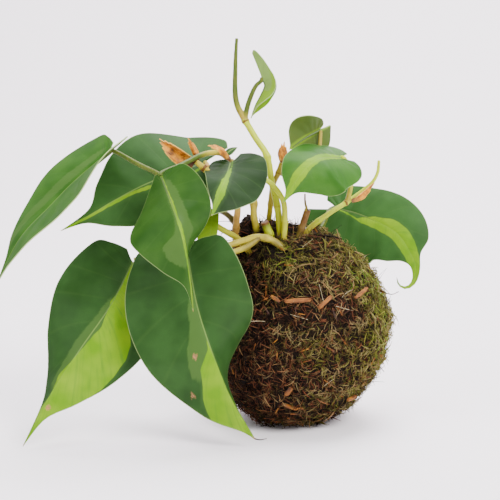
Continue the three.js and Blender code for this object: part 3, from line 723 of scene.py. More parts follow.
def papery_sheath(props):
    """Dry sheath: thin, translucent, papery tissue in orange and straw, with lengthwise veins, a
    darker maroon foot and pale edges."""
    material, add = start_material("dry papery leaf sheath")
    share, across, margin = (
        add("Attribute", {"attribute_name": key}, out="Fac") for key in ("share", "across", "margin")
    )
    spot = add("TexCoord", out="Object")
    clouds = add("TexNoise", {}, {"Vector": spot, "Scale": per_mm(3.5), "Detail": 4.0})
    fibre_spot = add("CombineXYZ", {}, [across, share])
    fibres = add("TexNoise", {}, {"Vector": fibre_spot, "Scale": 2.6, "Detail": 3.0})
    tone = add("ValToRGB", {"stops": [
        (0.3, props.dark), (0.45, props.deep), (0.58, props.bright), (0.75, props.pale),
    ]}, [clouds])
    fibre_line = add("MapRange", {}, [fibres, 0.45, 0.65, 0.0, 0.5])
    edge = add("MapRange", {}, [margin, 0.2, 0.8, 0.7, 0.0])
    foot = add("Math", {"operation": "MULTIPLY_ADD"}, [clouds, 0.5, share])
    foot = add("MapRange", {}, [foot, 0.35, 0.6, 0.85, 0.0])
    for part, other in ((fibre_line, props.bright), (edge, props.pale), (foot, props.dark)):
        tone = add("Mix", RGBA, {FACTOR: part, FROM: tone, TO: other}, MIXED)
    bump = add("Bump", {}, {"Strength": 0.5, "Distance": 0.3 * MM, "Height": fibres})
    surface = add("BsdfPrincipled", {}, {
        "Base Color": tone, "Roughness": 0.55, "IOR": 1.45, "Normal": bump,
        **let_light_in(0.15, (1.0, 0.7, 0.3)),
    })
    add("OutputMaterial", {}, {"Surface": surface})
    return material


# ---------------------------------------------------------------- stems

# Each stem: its slot, the rind it wears where that isn't its slot's, its runs (points, radius at the
# two ends), its rings or swellings (run, share, extra radius, width in mm, how brown), the share from
# which a run is as green as a leaf stalk, and its freshly cut or torn end.
STEMS = {
    "stem_main": {
        "slot": "stem_green",
        "runs": [
            ([(-5.5, -15, 90), (-5.5, -15, 99.5), (-7.5, -15, 118), (-10, -14.5, 128.5),
              (-13, -14, 144), (-18.5, -13, 152.5), (-24.5, -12, 162.5)], 1.7, 1.5),
            ([(-24.2, -12, 162), (-22.5, -12.5, 170), (-18.5, -13.5, 179.5), (-15.5, -14, 182.5),
              (-15.4, -14, 184)], 1.3, 0.9),
            ([(-24.3, -12, 162), (-28.5, -12, 171), (-29, -12, 190), (-28.3, -12, 204)], 1.6, 0.7),
        ],
        "rings": [(0, 0.7, 0.5, 1.6, 0.25), (0, 0.985, 0.5, 1.2, 0.9), (0, 0.36, 0.3, 1.5, 0.3)],
        "leafy": {1: 0, 2: 0.05},
    },
    "stem_centre": {
        "slot": "stem_green",
        "runs": [([(-4, -18.8, 90), (-4, -18.8, 100), (-3.5, -19, 113), (-4.5, -19.5, 121),
                   (-11, -20, 130), (-21.5, -18.5, 135), (-31, -20, 139)], 1.6, 1.1)],
        "rings": [(0, 0.3, 0.4, 1.3, 0.4)],
    },
    "stem_thin_beige": {
        "slot": "stem_beige",
        "runs": [
            ([(-12, -2, 94), (-12, -2, 104), (-11, -4, 114), (-9.5, -8, 127.5), (-6.5, -8, 134.5),
              (-5, -8.5, 139.5)], 1.4, 1.2),
            ([(-6.5, -8, 134.5), (0, -4, 131), (9, 0, 134), (14.5, 0, 144), (15.8, 3.2, 155.2)],
             1.1, 0.8),
        ],
        "rings": [(0, 0.88, 0.4, 1.2, 0.7), (0, 0.5, 0.25, 1.2, 0.3)],
    },
    "stem_right": {
        "slot": "stem_green",
        "runs": [
            ([(2, -7.5, 92), (9, -6, 103.5), (20.5, -2, 112), (31.5, 2, 118.5), (43.5, 4, 128),
              (46, 4, 133), (46.5, 3, 139.5)], 1.6, 0.7),
            ([(30, 1.5, 118), (31.5, -2, 127), (29.5, -8.5, 138), (26.8, -12.9, 142.3),
              (25.8, -13.9, 142.6)], 1.2, 1.1),
        ],
        "rings": [(0, 0.56, 0.5, 1.0, 0.95), (0, 0.3, 0.25, 1.2, 0.3)],
    },
    "stalk_right": {
        "slot": "stem_green",
        "leafy": {0: 0.1},
        "runs": [([(10, 8, 86), (14, 14, 96), (18.5, 23, 103), (22, 31, 109), (24.9, 34.3, 110),
                   (26.4, 35, 109.6)], 1.4, 1.1)],
    },
    "stub_brown": {
        "slot": "stub_brown",
        "runs": [
            ([(2, -12, 93), (4.5, -12, 102.5), (8.5, -14, 115.5)], 1.7, 1.6),
            ([(8.3, -13.9, 115), (7.2, -14, 119), (7, -14, 124)], 0.6, 0.4),
        ],
        "rings": [(0, 0.55, 0.35, 1.2, 0.5)],
        "cut": 0.9,
    },
    "stub_green": {
        "slot": "stem_green",
        "runs": [([(-11, -14, 92), (-11, -15.5, 101), (-14, -17.5, 109.5)], 2.1, 2.1)],
        "rings": [(0, 0.6, 0.3, 1.2, 0.3)],
        "leafy": {0: 0.75},
        "cut": 0.88,
    },
    "stem_beige": {
        "slot": "stem_beige",
        "runs": [
            ([(-16.5, -10, 92), (-17.5, -11, 101.5), (-19.5, -12.5, 112.5), (-20, -12, 122),
              (-26.5, -12, 132), (-32, -13.5, 141)], 1.8, 1.5),
            ([(-31.5, -13.3, 140), (-35.5, -16.5, 144.5), (-40, -22, 146), (-46.5, -31, 145.5),
              (-55.5, -41.5, 142), (-65.8, -51, 138.3), (-66, -51.8, 137.5)], 1.4, 1.1),
        ],
        "rings": [(0, 0.98, 0.5, 1.3, 0.5), (0, 0.5, 0.5, 1.5, 0.35)],
        "leafy": {1: 0.3},
    },
    "stem_pink": {
        "slot": "stem_pink",
        "runs": [
            ([(-27, -12, 90), (-29, -13, 101), (-28.5, -15, 110), (-28, -18, 117), (-31, -24, 124),
              (-36, -28, 130.5), (-43, -28.5, 137), (-49, -28.5, 142)], 1.8, 1.3),
            ([(-44.5, -28, 138.5), (-43.5, -22, 139.5), (-44.6, -16.2, 140.3)], 1.1, 1.1),
        ],
        "rings": [(0, 0.92, 0.6, 1.6, 0.9), (0, 0.25, 0.3, 1.5, 0.4)],
    },
    "stem_olive": {
        "slot": "stem_olive",
        "runs": [([(-22, -5, 92), (-27, -7.5, 103), (-31, -10, 110), (-36, -18, 115),
                   (-40.3, -31, 117)], 1.5, 1.2)],
        "rings": [(0, 0.45, 0.4, 1.5, 0.5)],
    },
    "stalk_far_left": {
        "slot": "stem_green",
        "runs": [([(-20, -15, 90), (-24.5, -18.5, 97.5), (-29, -21, 102), (-38.5, -28.5, 109),
                   (-52, -36, 122.5), (-65, -41, 135.5), (-78, -38.5, 142), (-91.3, -34.9, 148.4),
                   (-92.2, -35, 148)], 1.6, 1.1)],
        "leafy": {0: 0.4},
        "groove": True,
    },
    "stem_low": {
        "slot": "stem_green",
        "rind": "stem_beige",
        "runs": [
            ([(3, -24, 88), (-6.5, -24, 98.5), (-12, -23.5, 101.5), (-18.5, -24, 102.5),
              (-24, -25, 101), (-34, -28, 98.5), (-52, -31, 95.5), (-67.5, -29, 93.5),
              (-81.1, -29.6, 91.3)], 1.8, 1.3),
            ([(-17, -24, 102), (-23, -27, 98), (-31, -31, 95.5), (-40, -33.5, 93.5),
              (-48, -37, 95.5), (-52.5, -41, 99.5), (-53.1, -43.6, 98.4)], 1.5, 1.2),
        ],
        "rings": [(0, 0.24, 0.4, 1.6, 0.3)],
    },
}


def stem_mesh(name, stem, step, voxel):
    """Tubes along the runs of a stem, fused where they branch, with their rings and cut ends."""
    samples, shares, browns, greens, tubes = [], [], [], [], []
    for number, (points, start, end) in enumerate(stem["runs"]):
        line, share, length = stem_line(points, step)
        radii = start + (end - start) * share
        brown = np.zeros(len(share))
        for run, at, extra, width, tone in stem.get("rings", []):
            if run == number:
                swell = np.exp(-(((share - at) * length) / width) ** 2)
                radii = radii + extra * swell
                brown = np.maximum(brown, tone * np.exp(-(((share - at) * length) / (0.6 * width)) ** 2))
        if "cut" in stem and number == 0:
            brown = np.maximum(brown, np.clip((share - stem["cut"]) / (1 - stem["cut"]), 0, 1))
        turns = stem.get("leafy", {}).get(number)
        greens.append(share * 0 if turns is None else np.clip((share - turns) * 5, 0, 1))
        tubes.append(tube(f"{name}_run_{number}", line, radii))
        samples.append(line)
        shares.append(share)
        browns.append(brown)
    piece = join_into(tubes[0], tubes[1:])
    name_piece(piece, name)
    apply_modifier(piece, "REMESH", mode="VOXEL", voxel_size=voxel * MM)
    apply_modifier(piece, "SMOOTH", factor=0.5, iterations=4)
    mesh = piece.data
    places = places_of(mesh)
    samples, shares = np.vstack(samples) * MM, np.concatenate(shares)
    browns, greens = np.concatenate(browns), np.concatenate(greens)
    nearest = np.concatenate([
        ((block[:, None] - samples[None]) ** 2).sum(2).argmin(1)
        for block in np.array_split(places, 1 + len(places) // 4000)
    ])
    away = places - samples[nearest]
    lumps = smooth_noise(places, 1.6)
    away_length = np.linalg.norm(away, axis=1)[:, None] + 1e-9
    torn = np.clip((browns[nearest] - 0.75) * 4, 0, 1) * ("cut" in stem)
    lift = 0.05 + 0.45 * torn
    # what the smoothing took off comes back, with the unevenness of the rind
    places = places + away / away_length * ((0.2 + lift * lumps) * MM)[:, None]
    if stem.get("groove"):
        # the channel along the top of the leaf stalk
        upward = away[:, 2] / away_length[:, 0]
        places[:, 2] -= 0.55 * MM * np.clip((upward - 0.75) * 4, 0, 1) * (shares[nearest] > 0.45)
    set_places(mesh, places)
    set_attribute(mesh, "share", shares[nearest])
    set_attribute(mesh, "brown", browns[nearest])
    set_attribute(mesh, "leafy", greens[nearest])
    return piece


def stem_rind(name, foot, body, tip, props):
    """Philodendron stem: smooth green bark, slightly glossy, browner at the foot and at the nodes, with
    faint lengthwise streaks and small brown specks."""
    material, add = start_material(name)
    share, brown, leafy = (
        add("Attribute", {"attribute_name": key}, out="Fac") for key in ("share", "brown", "leafy")
    )
    spot = add("TexCoord", out="Object")
    stretched = add("Mapping", {}, {"Vector": spot, "Scale": (1.0, 1.0, 0.2)})
    streaks = add("TexNoise", {}, {"Vector": stretched, "Scale": per_mm(1.1), "Detail": 3.0})
    clouds = add("TexNoise", {}, {"Vector": spot, "Scale": per_mm(6), "Detail": 3.0})
    specks = add("TexVoronoi", {}, {"Vector": spot, "Scale": per_mm(3.2)}, out="Distance")
    drift = add("Math", {"operation": "MULTIPLY_ADD"}, [clouds, 0.5, share])
    tone = add("ValToRGB", {"stops": [(0.3, foot), (0.62, body), (1.0, tip)]}, [drift])
    streaky = add("MapRange", {}, [streaks, 0.4, 0.7, 0.0, 0.25])
    fleck = add("MapRange", {}, [specks, 0.07, 0.12, 0.8, 0.0])
    ring = add("Math", {"operation": "MULTIPLY_ADD"}, [streaks, 0.6, brown])
    ring = add("MapRange", {}, [ring, 0.5, 1.0])
    for part, other in (
        (leafy, props.stalk), (streaky, foot), (fleck, props.node_brown), (ring, props.node_brown),
    ):
        tone = add("Mix", RGBA, {FACTOR: part, FROM: tone, TO: other}, MIXED)
    bump = add("Bump", {}, {"Strength": 0.35, "Distance": 0.15 * MM, "Height": streaks})
    surface = add("BsdfPrincipled", {}, {
        "Base Color": tone, "Roughness": 0.42, "IOR": 1.45, "Normal": bump, "Specular IOR Level": 0.2,
        **let_light_in(0.15, (1.0, 1.0, 0.4)),
    })
    add("OutputMaterial", {}, {"Surface": surface})
    return material


# ---------------------------------------------------------------- the ball

BALL = {"radius": 46.5, "half_height": 53.7, "centre_height": 51.3, "squareness": 2.3}
BALL_LEAN = [(0, 0.5), (23, 3), (40, 6), (56, 7.5), (80, 4), (98, -1.5), (110, -3)]
MOUTH = {"x": -9, "y": -4, "half_length": 20, "half_width": 14, "floor": 95}
CROWN = (-9, -4, 93, 19, 13, 15)
ROOT_CLUMP = (-22, -6, 101, 5.6, 5.4, 10)
SOIL_INSET = 9         # the thickness of the moss, in mm
MAT_INSET = 2.6        # how far the mat lies inside the ball's outline, in mm
MAT_LUMP = 0.022       # height of the moss cushions, as a share of the radius
LEAFLET_LEAN = 0.85    # how far the leaflets of a frond lean from its stalk
LOWEST = 0.15          # no strand comes nearer to the ground than this, in mm
CROWN_TRIES = 9000     # places tried on the soil, of which the crown keeps those near its top
LOOSE_FILAMENTS = 90
CLUMP_ROOTS = 46
SPLINTERS = 120


def mouth_share(mm):
    """How far places are from the middle of the opening in the moss, whose rim is at 1."""
    return np.hypot((mm[:, 0] - MOUTH["x"]) / MOUTH["half_length"],
                    (mm[:, 1] - MOUTH["y"]) / MOUTH["half_width"])


def ball_places(directions, inset, lump=0.0):
    """Places on the moss ball, in millimetres, drawn in by `inset`."""
    d = unit(directions)
    p = BALL["squareness"]
    reach = (np.hypot(d[:, 0], d[:, 1]) ** p + np.abs(d[:, 2]) ** p) ** (-1 / p)
    x, y, z = d.T
    cushion = (np.sin(7 * x + 2 * z) * np.sin(6 * y - 3 * z + 1)
               + 0.7 * np.sin(11 * z + 4 * x) * np.sin(10 * x - 5 * y + 2))
    reach = reach * (1 + lump * cushion)
    height = BALL["centre_height"] + (BALL["half_height"] - inset) * reach * z
    across = (BALL["radius"] - inset) * reach
    return np.stack([across * x + between(BALL_LEAN, height), across * y, height], 1)


def strand_form(length, thick, bend):
    """One moss strand, standing on the origin: a thin three-sided spike, bent over."""
    piece = new_form(
        bpy.ops.mesh.primitive_cone_add, vertices=3, radius1=thick / 2, radius2=thick / 8, depth=length,
        location=(0, 0, length / 2),
    )

    def cut(share):
        bpy.ops.mesh.select_all(action="SELECT")
        bpy.ops.mesh.bisect(plane_co=(0, 0, share * length), plane_no=(0, 0, 1))

    edit_mesh(piece, lambda: cut(0.35), lambda: cut(0.7))
    places = places_of(piece.data)
    along = places[:, 2] / length
    places[:, 0] += bend * length * along ** 2
    places[:, 2] *= 1 - 0.35 * bend * along
    set_places(piece.data, places)
    return piece


def frond_form(length, leaflets):
    """One feathery moss frond: a thin stalk with small pointed leaflets on two sides."""
    parts = [strand_form(length, 0.16 * length / 5, 0.25)]
    for i in range(leaflets):
        at = 0.15 + 0.8 * i / leaflets
        size = 0.3 * length * (1 - 0.6 * at)
        turn = math.pi * (i % 2) + 0.5 * math.sin(2.4 * i)
        centre = (
            0.25 * length * at ** 2 + 0.5 * size * math.sin(LEAFLET_LEAN) * math.cos(turn),
            0.5 * size * math.sin(LEAFLET_LEAN) * math.sin(turn),
            at * length + 0.5 * size * math.cos(LEAFLET_LEAN),
        )
        parts.append(new_form(
            bpy.ops.mesh.primitive_cone_add, vertices=3, radius1=0.16 * size, radius2=0, depth=size,
            location=centre, rotation=(0, LEAFLET_LEAN, turn),
        ))
    return join_into(parts[0], parts[1:])


def triangles_of(mesh):
    """The corners of a mesh, and its triangles."""
    mesh.calc_loop_triangles()
    return places_of(mesh), np.array([t.vertices[:] for t in mesh.loop_triangles])


def form_data(piece):
    """The corners and triangles of a small form, which is then removed."""
    data = triangles_of(piece.data)
    bpy.data.objects.remove(piece)
    return data


def spread(name, form, places, axes, sizes, marks, material):
    """One mesh of many copies of a form: at each place, with its axes as rows, size and marks."""
    corners, triangles = form
    count = len(places)
    placed = np.einsum("vk,nkj->nvj", corners, axes * sizes[:, None, None]) + places[:, None]
    placed[:, :, 2] = np.maximum(placed[:, :, 2], LOWEST * MM)
    faces = (triangles[None] + (np.arange(count) * len(corners))[:, None, None]).reshape(-1, 3)
    mesh = bpy.data.meshes.new(name)
    mesh.vertices.add(count * len(corners))
    mesh.vertices.foreach_set("co", placed.astype(np.float32).ravel())
    mesh.loops.add(3 * len(faces))
    mesh.loops.foreach_set("vertex_index", faces.astype(np.int32).ravel())
    mesh.polygons.add(len(faces))
    mesh.polygons.foreach_set("loop_start", np.arange(0, 3 * len(faces), 3, dtype=np.int32))
    mesh.update(calc_edges=True)
    height = corners[:, 2] / corners[:, 2].max()
    set_attribute(mesh, "tip", np.tile(height, count))
    for key, values in marks.items():
        set_attribute(mesh, key, np.repeat(values, len(corners)))
    mesh.materials.append(material)
    piece = bpy.data.objects.new(name, mesh)
    bpy.context.scene.collection.objects.link(piece)
    return piece


def points_on(corners, triangles, count, random):
    """Places spread evenly over triangles, with the normals there."""
    a, b, c = (corners[triangles[:, k]] for k in range(3))
    normal = np.cross(b - a, c - a)
    area = np.linalg.norm(normal, axis=1)
    chosen = random.choice(len(triangles), count, p=area / area.sum())
    u, v = random.random(count), random.random(count)
    over = u + v > 1
    u[over], v[over] = 1 - u[over], 1 - v[over]
    place = a[chosen] + (b - a)[chosen] * u[:, None] + (c - a)[chosen] * v[:, None]
    return place, normal[chosen] / area[chosen][:, None]


def points_on_mat(count, random):
    """Places on the moss mat. A sphere's corners come numbered anew in each run, so they are first
    numbered by where they are, and each run finds the same places."""
    corners, triangles = triangles_of(bpy.data.objects["moss_mat"].data)
    order = np.lexsort(corners.T)
    triangles = np.argsort(order)[triangles]
    lowest = triangles.argmin(1)[:, None]
    triangles = np.take_along_axis(triangles, (lowest + np.arange(3)) % 3, 1)
    triangles = triangles[np.lexsort(triangles.T)]
    return points_on(corners[order], triangles, count, random)


def lean_axes(normals, lean, random):
    """Axes for copies that lean away from the normals, each in a direction of its own."""
    count = len(normals)
    aside = unit(np.cross(normals, random.normal(size=(count, 3))))
    up = normals * np.cos(lean)[:, None] + aside * np.sin(lean)[:, None]
    down = aside * np.cos(lean)[:, None] - normals * np.sin(lean)[:, None]
    spin = random.normal(0, 0.9, count)
    third = np.cross(up, down)
    first = down * np.cos(spin)[:, None] + third * np.sin(spin)[:, None]
    return np.stack([first, np.cross(up, first), up], 1)


# Where the moss is greener or browner than around it: centre and radius in mm, and how much.
MOSS_PATCHES = [
    ((-6, -31, 94), 8, 1.3), ((12, -44, 46), 12, 0.3), ((33, -32, 92), 14, 0.35),
    ((47, -12, 70), 16, 0.4), ((48, -10, 46), 16, 0.3), ((20, -40, 68), 10, -0.35),
    ((0, -45, 60), 14, -0.1), ((-24, -36, 26), 20, -0.35), ((27, -38, 67), 9, -0.35),
    ((5, -42, 16), 14, -0.15), ((-34, 10, 70), 18, 0.3), ((5, 44, 60), 20, 0.25), ((20, 30, 96), 14, 0.2),
]


def greenness(places):
    """How green the moss is at places in metres, about 0 to 1."""
    mm = places / MM
    green = 0.36 + 0.3 * np.clip((mm[:, 0] - 2) / 45, -0.6, 1) + 0.34 * smooth_noise(places, 13)
    green += 0.12 * np.clip((mm[:, 2] - 20) / 60, -0.5, 1)
    for centre, radius, amount in MOSS_PATCHES:
        distance = np.linalg.norm(mm - np.array(centre), axis=1)
        green += amount * np.exp(-(distance / radius) ** 2)
    return np.clip(green, 0.02, 1)


def moss_material(props):
    """Sheet moss, half dry: soft matte fibres from near-black brown through russet and olive to fresh
    yellow-green, each strand in a tone of its own and lighter towards its tip."""
    material, add = start_material("sheet moss strands")
    tint, tip, light = (
        add("Attribute", {"attribute_name": key}, out="Fac") for key in ("tint", "tip", "light")
    )
    spot = add("TexCoord", out="Object")
    fine = add("TexNoise", {}, {"Vector": spot, "Scale": per_mm(1.2), "Detail": 2.0})
    shift = add("Math", {"operation": "MULTIPLY_ADD"}, [fine, 0.14, -0.07])
    shift = add("Math", {"operation": "ADD"}, [tint, shift])
    tone = add("ValToRGB", {"stops": [
        (0.0, props.black), (0.16, props.umber), (0.32, props.russet), (0.44, props.straw),
        (0.54, props.olive), (0.72, props.moss_green), (0.86, props.yellow_green), (1.0, props.fresh),
    ]}, [shift])
    # painted shade: each strand darker towards its root and where its light mark is low
    shade = add("MapRange", {}, [tip, 0.0, 0.75, 0.7, 0.0])
    painted_shade = add("MapRange", {}, [light, 0.0, 1.0, 0.8, 0.0])
    # bleached pale where the light mark is highest: partly bleached fibres, partly a painted highlight
    bleach_and_highlight = add("MapRange", {}, [light, 1.2, 1.4, 0.0, 0.25])
    for part, other in ((shade, props.black), (painted_shade, props.black), (bleach_and_highlight, props.pale)):
        tone = add("Mix", RGBA, {FACTOR: part, FROM: tone, TO: other}, MIXED)
    surface = add("BsdfPrincipled", {}, {
        "Base Color": tone, "Roughness": 0.8, "IOR": 1.4, "Specular IOR Level": 0.12,
    })
    add("OutputMaterial", {}, {"Surface": surface})
    return material


def peat_material(name, dark, light, size):
    """Peaty soil or the felted foot of the moss: dark, damp and crumbly, with no gloss."""
    material, add = start_material(name)
    spot = add("TexCoord", out="Object")
    crumbs = add("TexVoronoi", {}, {"Vector": spot, "Scale": per_mm(size)}, out="Distance")
    clouds = add("TexNoise", {}, {"Vector": spot, "Scale": per_mm(4 * size), "Detail": 5.0})
    tone = add("MapRange", {}, [clouds, 0.35, 0.7])
    tone = add("Mix", RGBA, {FACTOR: tone, FROM: dark, TO: light}, MIXED)
    height = add("Math", {"operation": "SUBTRACT"}, [clouds, crumbs])
    bump = add("Bump", {}, {"Strength": 0.9, "Distance": 0.6 * MM, "Height": height})
    surface = add("BsdfPrincipled", {}, {
        "Base Color": tone, "Roughness": 0.92, "IOR": 1.4, "Specular IOR Level": 0.2, "Normal": bump,
    })
    add("OutputMaterial", {}, {"Surface": surface})
    return material


def bark_material(props):
    """Pine bark chips and dry husks: orange-brown wood with lengthwise grain, split and dull."""
    material, add = start_material("pine bark chip")
    share = add("Attribute", {"attribute_name": "grain_along"}, out="Fac")
    across = add("Attribute", {"attribute_name": "grain_across"}, out="Fac")
    spot = add("TexCoord", out="Object")
    grain_spot = add("CombineXYZ", {}, [share, across])
    grain = add("TexNoise", {}, {"Vector": grain_spot, "Scale": 1.0, "Detail": 4.0})
    clouds = add("TexNoise", {}, {"Vector": spot, "Scale": per_mm(4), "Detail": 3.0})
    mixed = add("Math", {"operation": "MULTIPLY_ADD"}, [clouds, 0.5, grain])
    tone = add("ValToRGB", {"stops": [
        (0.6, props.bark_dark), (0.78, props.bark), (1.0, props.bark_light),
    ]}, [mixed])
    bump = add("Bump", {}, {"Strength": 0.7, "Distance": 0.3 * MM, "Height": grain})
    surface = add("BsdfPrincipled", {}, {
        "Base Color": tone, "Roughness": 0.7, "IOR": 1.45, "Normal": bump,
    })
    add("OutputMaterial", {}, {"Surface": surface})
    return material


# Each flake as in the CAD source: bearing round the ball, height, length and tilt, and its width.
BARK_FLAKES = [
    (-93, 73, 12, 4, 2.6), (-75, 72, 8.5, 38, 2.4), (-45, 74.5, 10.5, 20, 2.0), (-108, 73.5, 5, -30, 2.0),
    (-95, 16.5, 8, -25, 1.8), (-42, 18, 6, 12, 2.2), (-97, 25.5, 5, 55, 2.6),
]
FLAKE_THICKNESS = 1.4
FLAKE_SINK = 0.1


def surface_point(heading, height):
    angle = math.radians(heading)
    p = BALL["squareness"]
    up = (height - BALL["centre_height"]) / BALL["half_height"]
    across = BALL["radius"] * (1 - abs(up) ** p) ** (1 / p)
    return np.array([
        across * math.cos(angle) + float(between(BALL_LEAN, height)), across * math.sin(angle), height,
    ])


def flake_axes(heading, height, tilt):
    """The middle of a flake, and its lengthwise, sideways and outward directions."""
    middle = surface_point(heading, height)
    aside = surface_point(heading + 1, height) - middle
    upward = surface_point(heading, height + 1) - middle
    outward = unit(np.cross(aside, upward))
    aside = unit(aside)
    third = np.cross(outward, aside)
    t = math.radians(tilt)
    lengthwise = aside * math.cos(t) + third * math.sin(t)
    sideways = third * math.cos(t) - aside * math.sin(t)
    return middle, lengthwise, sideways, outward


# ---------------------------------------------------------------- settings


def colour_property(name, text, code):
    return bpy.props.FloatVectorProperty(
        name=name, description=text, subtype="COLOR", size=3, min=0, max=1, default=srgb(code),
    )


def number_property(name, text, default, **limits):
    return bpy.props.FloatProperty(name=name, description=text, default=default, **limits)


def length_property(name, text, default, low, high):
    """A length, given in millimetres."""
    return number_property(name, text, default * MM, min=low * MM, max=high * MM, unit="LENGTH")


def count_property(name, text, default, low, high):
    return bpy.props.IntProperty(name=name, description=text, default=default, min=low, max=high)


class LeafSettings(bpy.types.PropertyGroup):
    thickness: length_property("Blade thickness", "How thick the leaf blades are", 0.55, 0.2, 0.8)
    quilt: number_property(
        "Vein relief", "How far the blade swells between side veins, in mm", 0.12, min=0, max=0.4,
    )
    columns: count_property("Columns", "Faces across a blade", 40, 8, 80)
    rows: count_property("Rows", "Faces along a blade", 88, 16, 160)
    dark_deep: colour_property("Dark green", "Deep tone of the dark leaves", "#1f3a16")
    dark_light: colour_property("Dark green, light", "Light tone of the dark leaves", "#29481e")
    mid_deep: colour_property("Mid green", "Deep tone of the brighter leaves", "#285016")
    mid_light: colour_property("Mid green, light", "Light tone of the brighter leaves", "#3c6422")
    lime: colour_property("Lime", "The stripe", "#568000")
    lime_pale: colour_property("Pale lime", "The stripe where it is palest", "#6e9010")
    # the grey green is also the colour of the painted sheen band on the far left leaf
    veil: colour_property("Grey green", "Patches between the stripe and the green", "#3e5a27")
    vein: colour_property("Vein", "Midrib and side veins", "#7b9848")
    rim: colour_property("Rim", "The thin pale edge", "#8fa266")
    underside: colour_property("Underside", "The leaf from below", "#46581c")


class SheathSettings(bpy.types.PropertyGroup):
    thickness: length_property("Sheath thickness", "How thick the dry sheaths are", 0.35, 0.1, 0.8)
    wrinkle: number_property("Wrinkle", "How deep the wrinkles are, in mm", 0.55, min=0, max=1.5)
    bright: colour_property("Orange", "Main tone", "#d08c00")
    deep: colour_property("Deep orange", "Darker tone", "#985800")
    pale: colour_property("Straw", "Edges and thin places", "#dcb048")
    dark: colour_property("Maroon", "The foot", "#401a0c")


class StemSettings(bpy.types.PropertyGroup):
    step: number_property("Step", "Distance between points along a stem, in mm", 0.7, min=0.2, max=3)
    voxel: number_property("Detail", "Size of the faces of a stem, in mm", 0.36, min=0.2, max=1)
    green: colour_property("Green stem", "Main tone", "#a4b014")
    green_tip: colour_property("Green stem, tip", "Towards the leaves", "#aebe1a")
    green_foot: colour_property("Green stem, foot", "Where it leaves the moss", "#9a882e")
    stalk: colour_property("Leaf stalk", "The stalks of the leaves", "#40541a")
    beige: colour_property("Beige stem", "Main tone", "#b4a62e")
    pink: colour_property("Pink stem", "Main tone", "#c09a48")
    olive: colour_property("Olive stem", "Main tone", "#55522c")
    stub: colour_property("Brown stub", "Main tone", "#62562a")
    node_brown: colour_property("Node brown", "Rings, specks and cut ends", "#64421c")


class MossSettings(bpy.types.PropertyGroup):
    strands: count_property("Strands", "How many single moss strands", 21000, 500, 40000)
    fronds: count_property("Fronds", "How many feathery fronds", 11000, 200, 12000)
    strand_length: length_property("Strand length", "Length of a typical strand", 4.2, 2, 12)
    black: colour_property("Near black", "The deepest gaps", "#0b0807")
    umber: colour_property("Umber", "Old moss", "#37241c")
    russet: colour_property("Russet", "Reddish dead fibres", "#80482e")
    straw: colour_property("Straw", "Dry fibres", "#8e7048")
    olive: colour_property("Olive", "Half-dry moss", "#524426")
    moss_green: colour_property("Moss green", "Living moss", "#68662a")
    yellow_green: colour_property("Yellow green", "Moss in the light", "#928c38")
    fresh: colour_property("Fresh green", "New growth", "#6e942a")
    # the bleached pale also serves as a painted highlight on the most brightly lit strands
    pale: colour_property("Bleached", "The palest tips", "#c4b078")
    bark: colour_property("Bark", "Bark chips", "#7c4404")
    bark_dark: colour_property("Dark bark", "Grain of the chips", "#301808")
    bark_light: colour_property("Light bark", "Worn faces of the chips", "#a46e18")


class StageSettings(bpy.types.PropertyGroup):
    wall: colour_property("Backdrop", "Floor and wall", "#f6f0f5")
    key: number_property("Key light", "Power of the large soft light", 50, min=0, unit="POWER")
    fill: number_property("Fill light", "Power of the light from the left", 15, min=0, unit="POWER")
    top: number_property("Top light", "Power of the light from above", 32, min=0, unit="POWER")
    back: number_property("Wall light", "Power of the light on the backdrop", 30, min=0, unit="POWER")
    sky: number_property("Room light", "Strength of the light from all round", 0.55, min=0)
    distance: number_property(
        "Camera distance", "From the camera to the plant", 0.9, min=0.3, unit="LENGTH",
    )
    elevation: number_property(
        "Camera height", "How far above level the camera looks from", math.radians(9), unit="ROTATION",
    )


# ---------------------------------------------------------------- operators


class MOSSBALL_OT_leaves(bpy.types.Operator):
    """Models the twelve leaves"""

    bl_idname = "mossball.leaves"
    bl_label = "Leaves"

    def execute(self, context):
        props = context.scene.mossball_leaves
        upper = {
            "dark": leaf_upper_side("philodendron leaf, dark", props.dark_deep, props.dark_light, props),
            "mid": leaf_upper_side("philodendron leaf, bright", props.mid_deep, props.mid_light, props),
            "pale": leaf_upper_side("philodendron leaf, young", props.mid_light, props.veil, props),
        }
        under = leaf_underside("philodendron leaf, underside", props.underside, props.veil, props.lime_pale)
        under_young = leaf_underside(
            "philodendron leaf, young underside", props.vein, props.veil, props.lime_pale,
        )
        rim = soft_rind("leaf margin", props.rim, props.vein, 2)
        rib = soft_rind("leaf midrib, underside", props.veil, props.underside, 5)
        for name, leaf in LEAVES.items():
            small = leaf["left"]["half"] < 10
            coarser = 2 if small else 1
            back = under_young if name == "leaf_young" else under
            piece = blade_mesh(
                f"{name}_dressed", leaf, props.columns // coarser, props.rows // coarser,
                props.thickness, props.quilt, [upper[leaf["tone"]], back, rim],
            )
            if not leaf.get("lance"):
                midrib = under_rib(leaf, 0.4 if small else 0.75)
                midrib.data.materials.append(rib)
                activate(midrib)
                bpy.ops.object.shade_smooth()
                join_into(piece, [midrib])
            settle(piece, f"leaf_{leaf['tone']}", name)
        return {"FINISHED"}


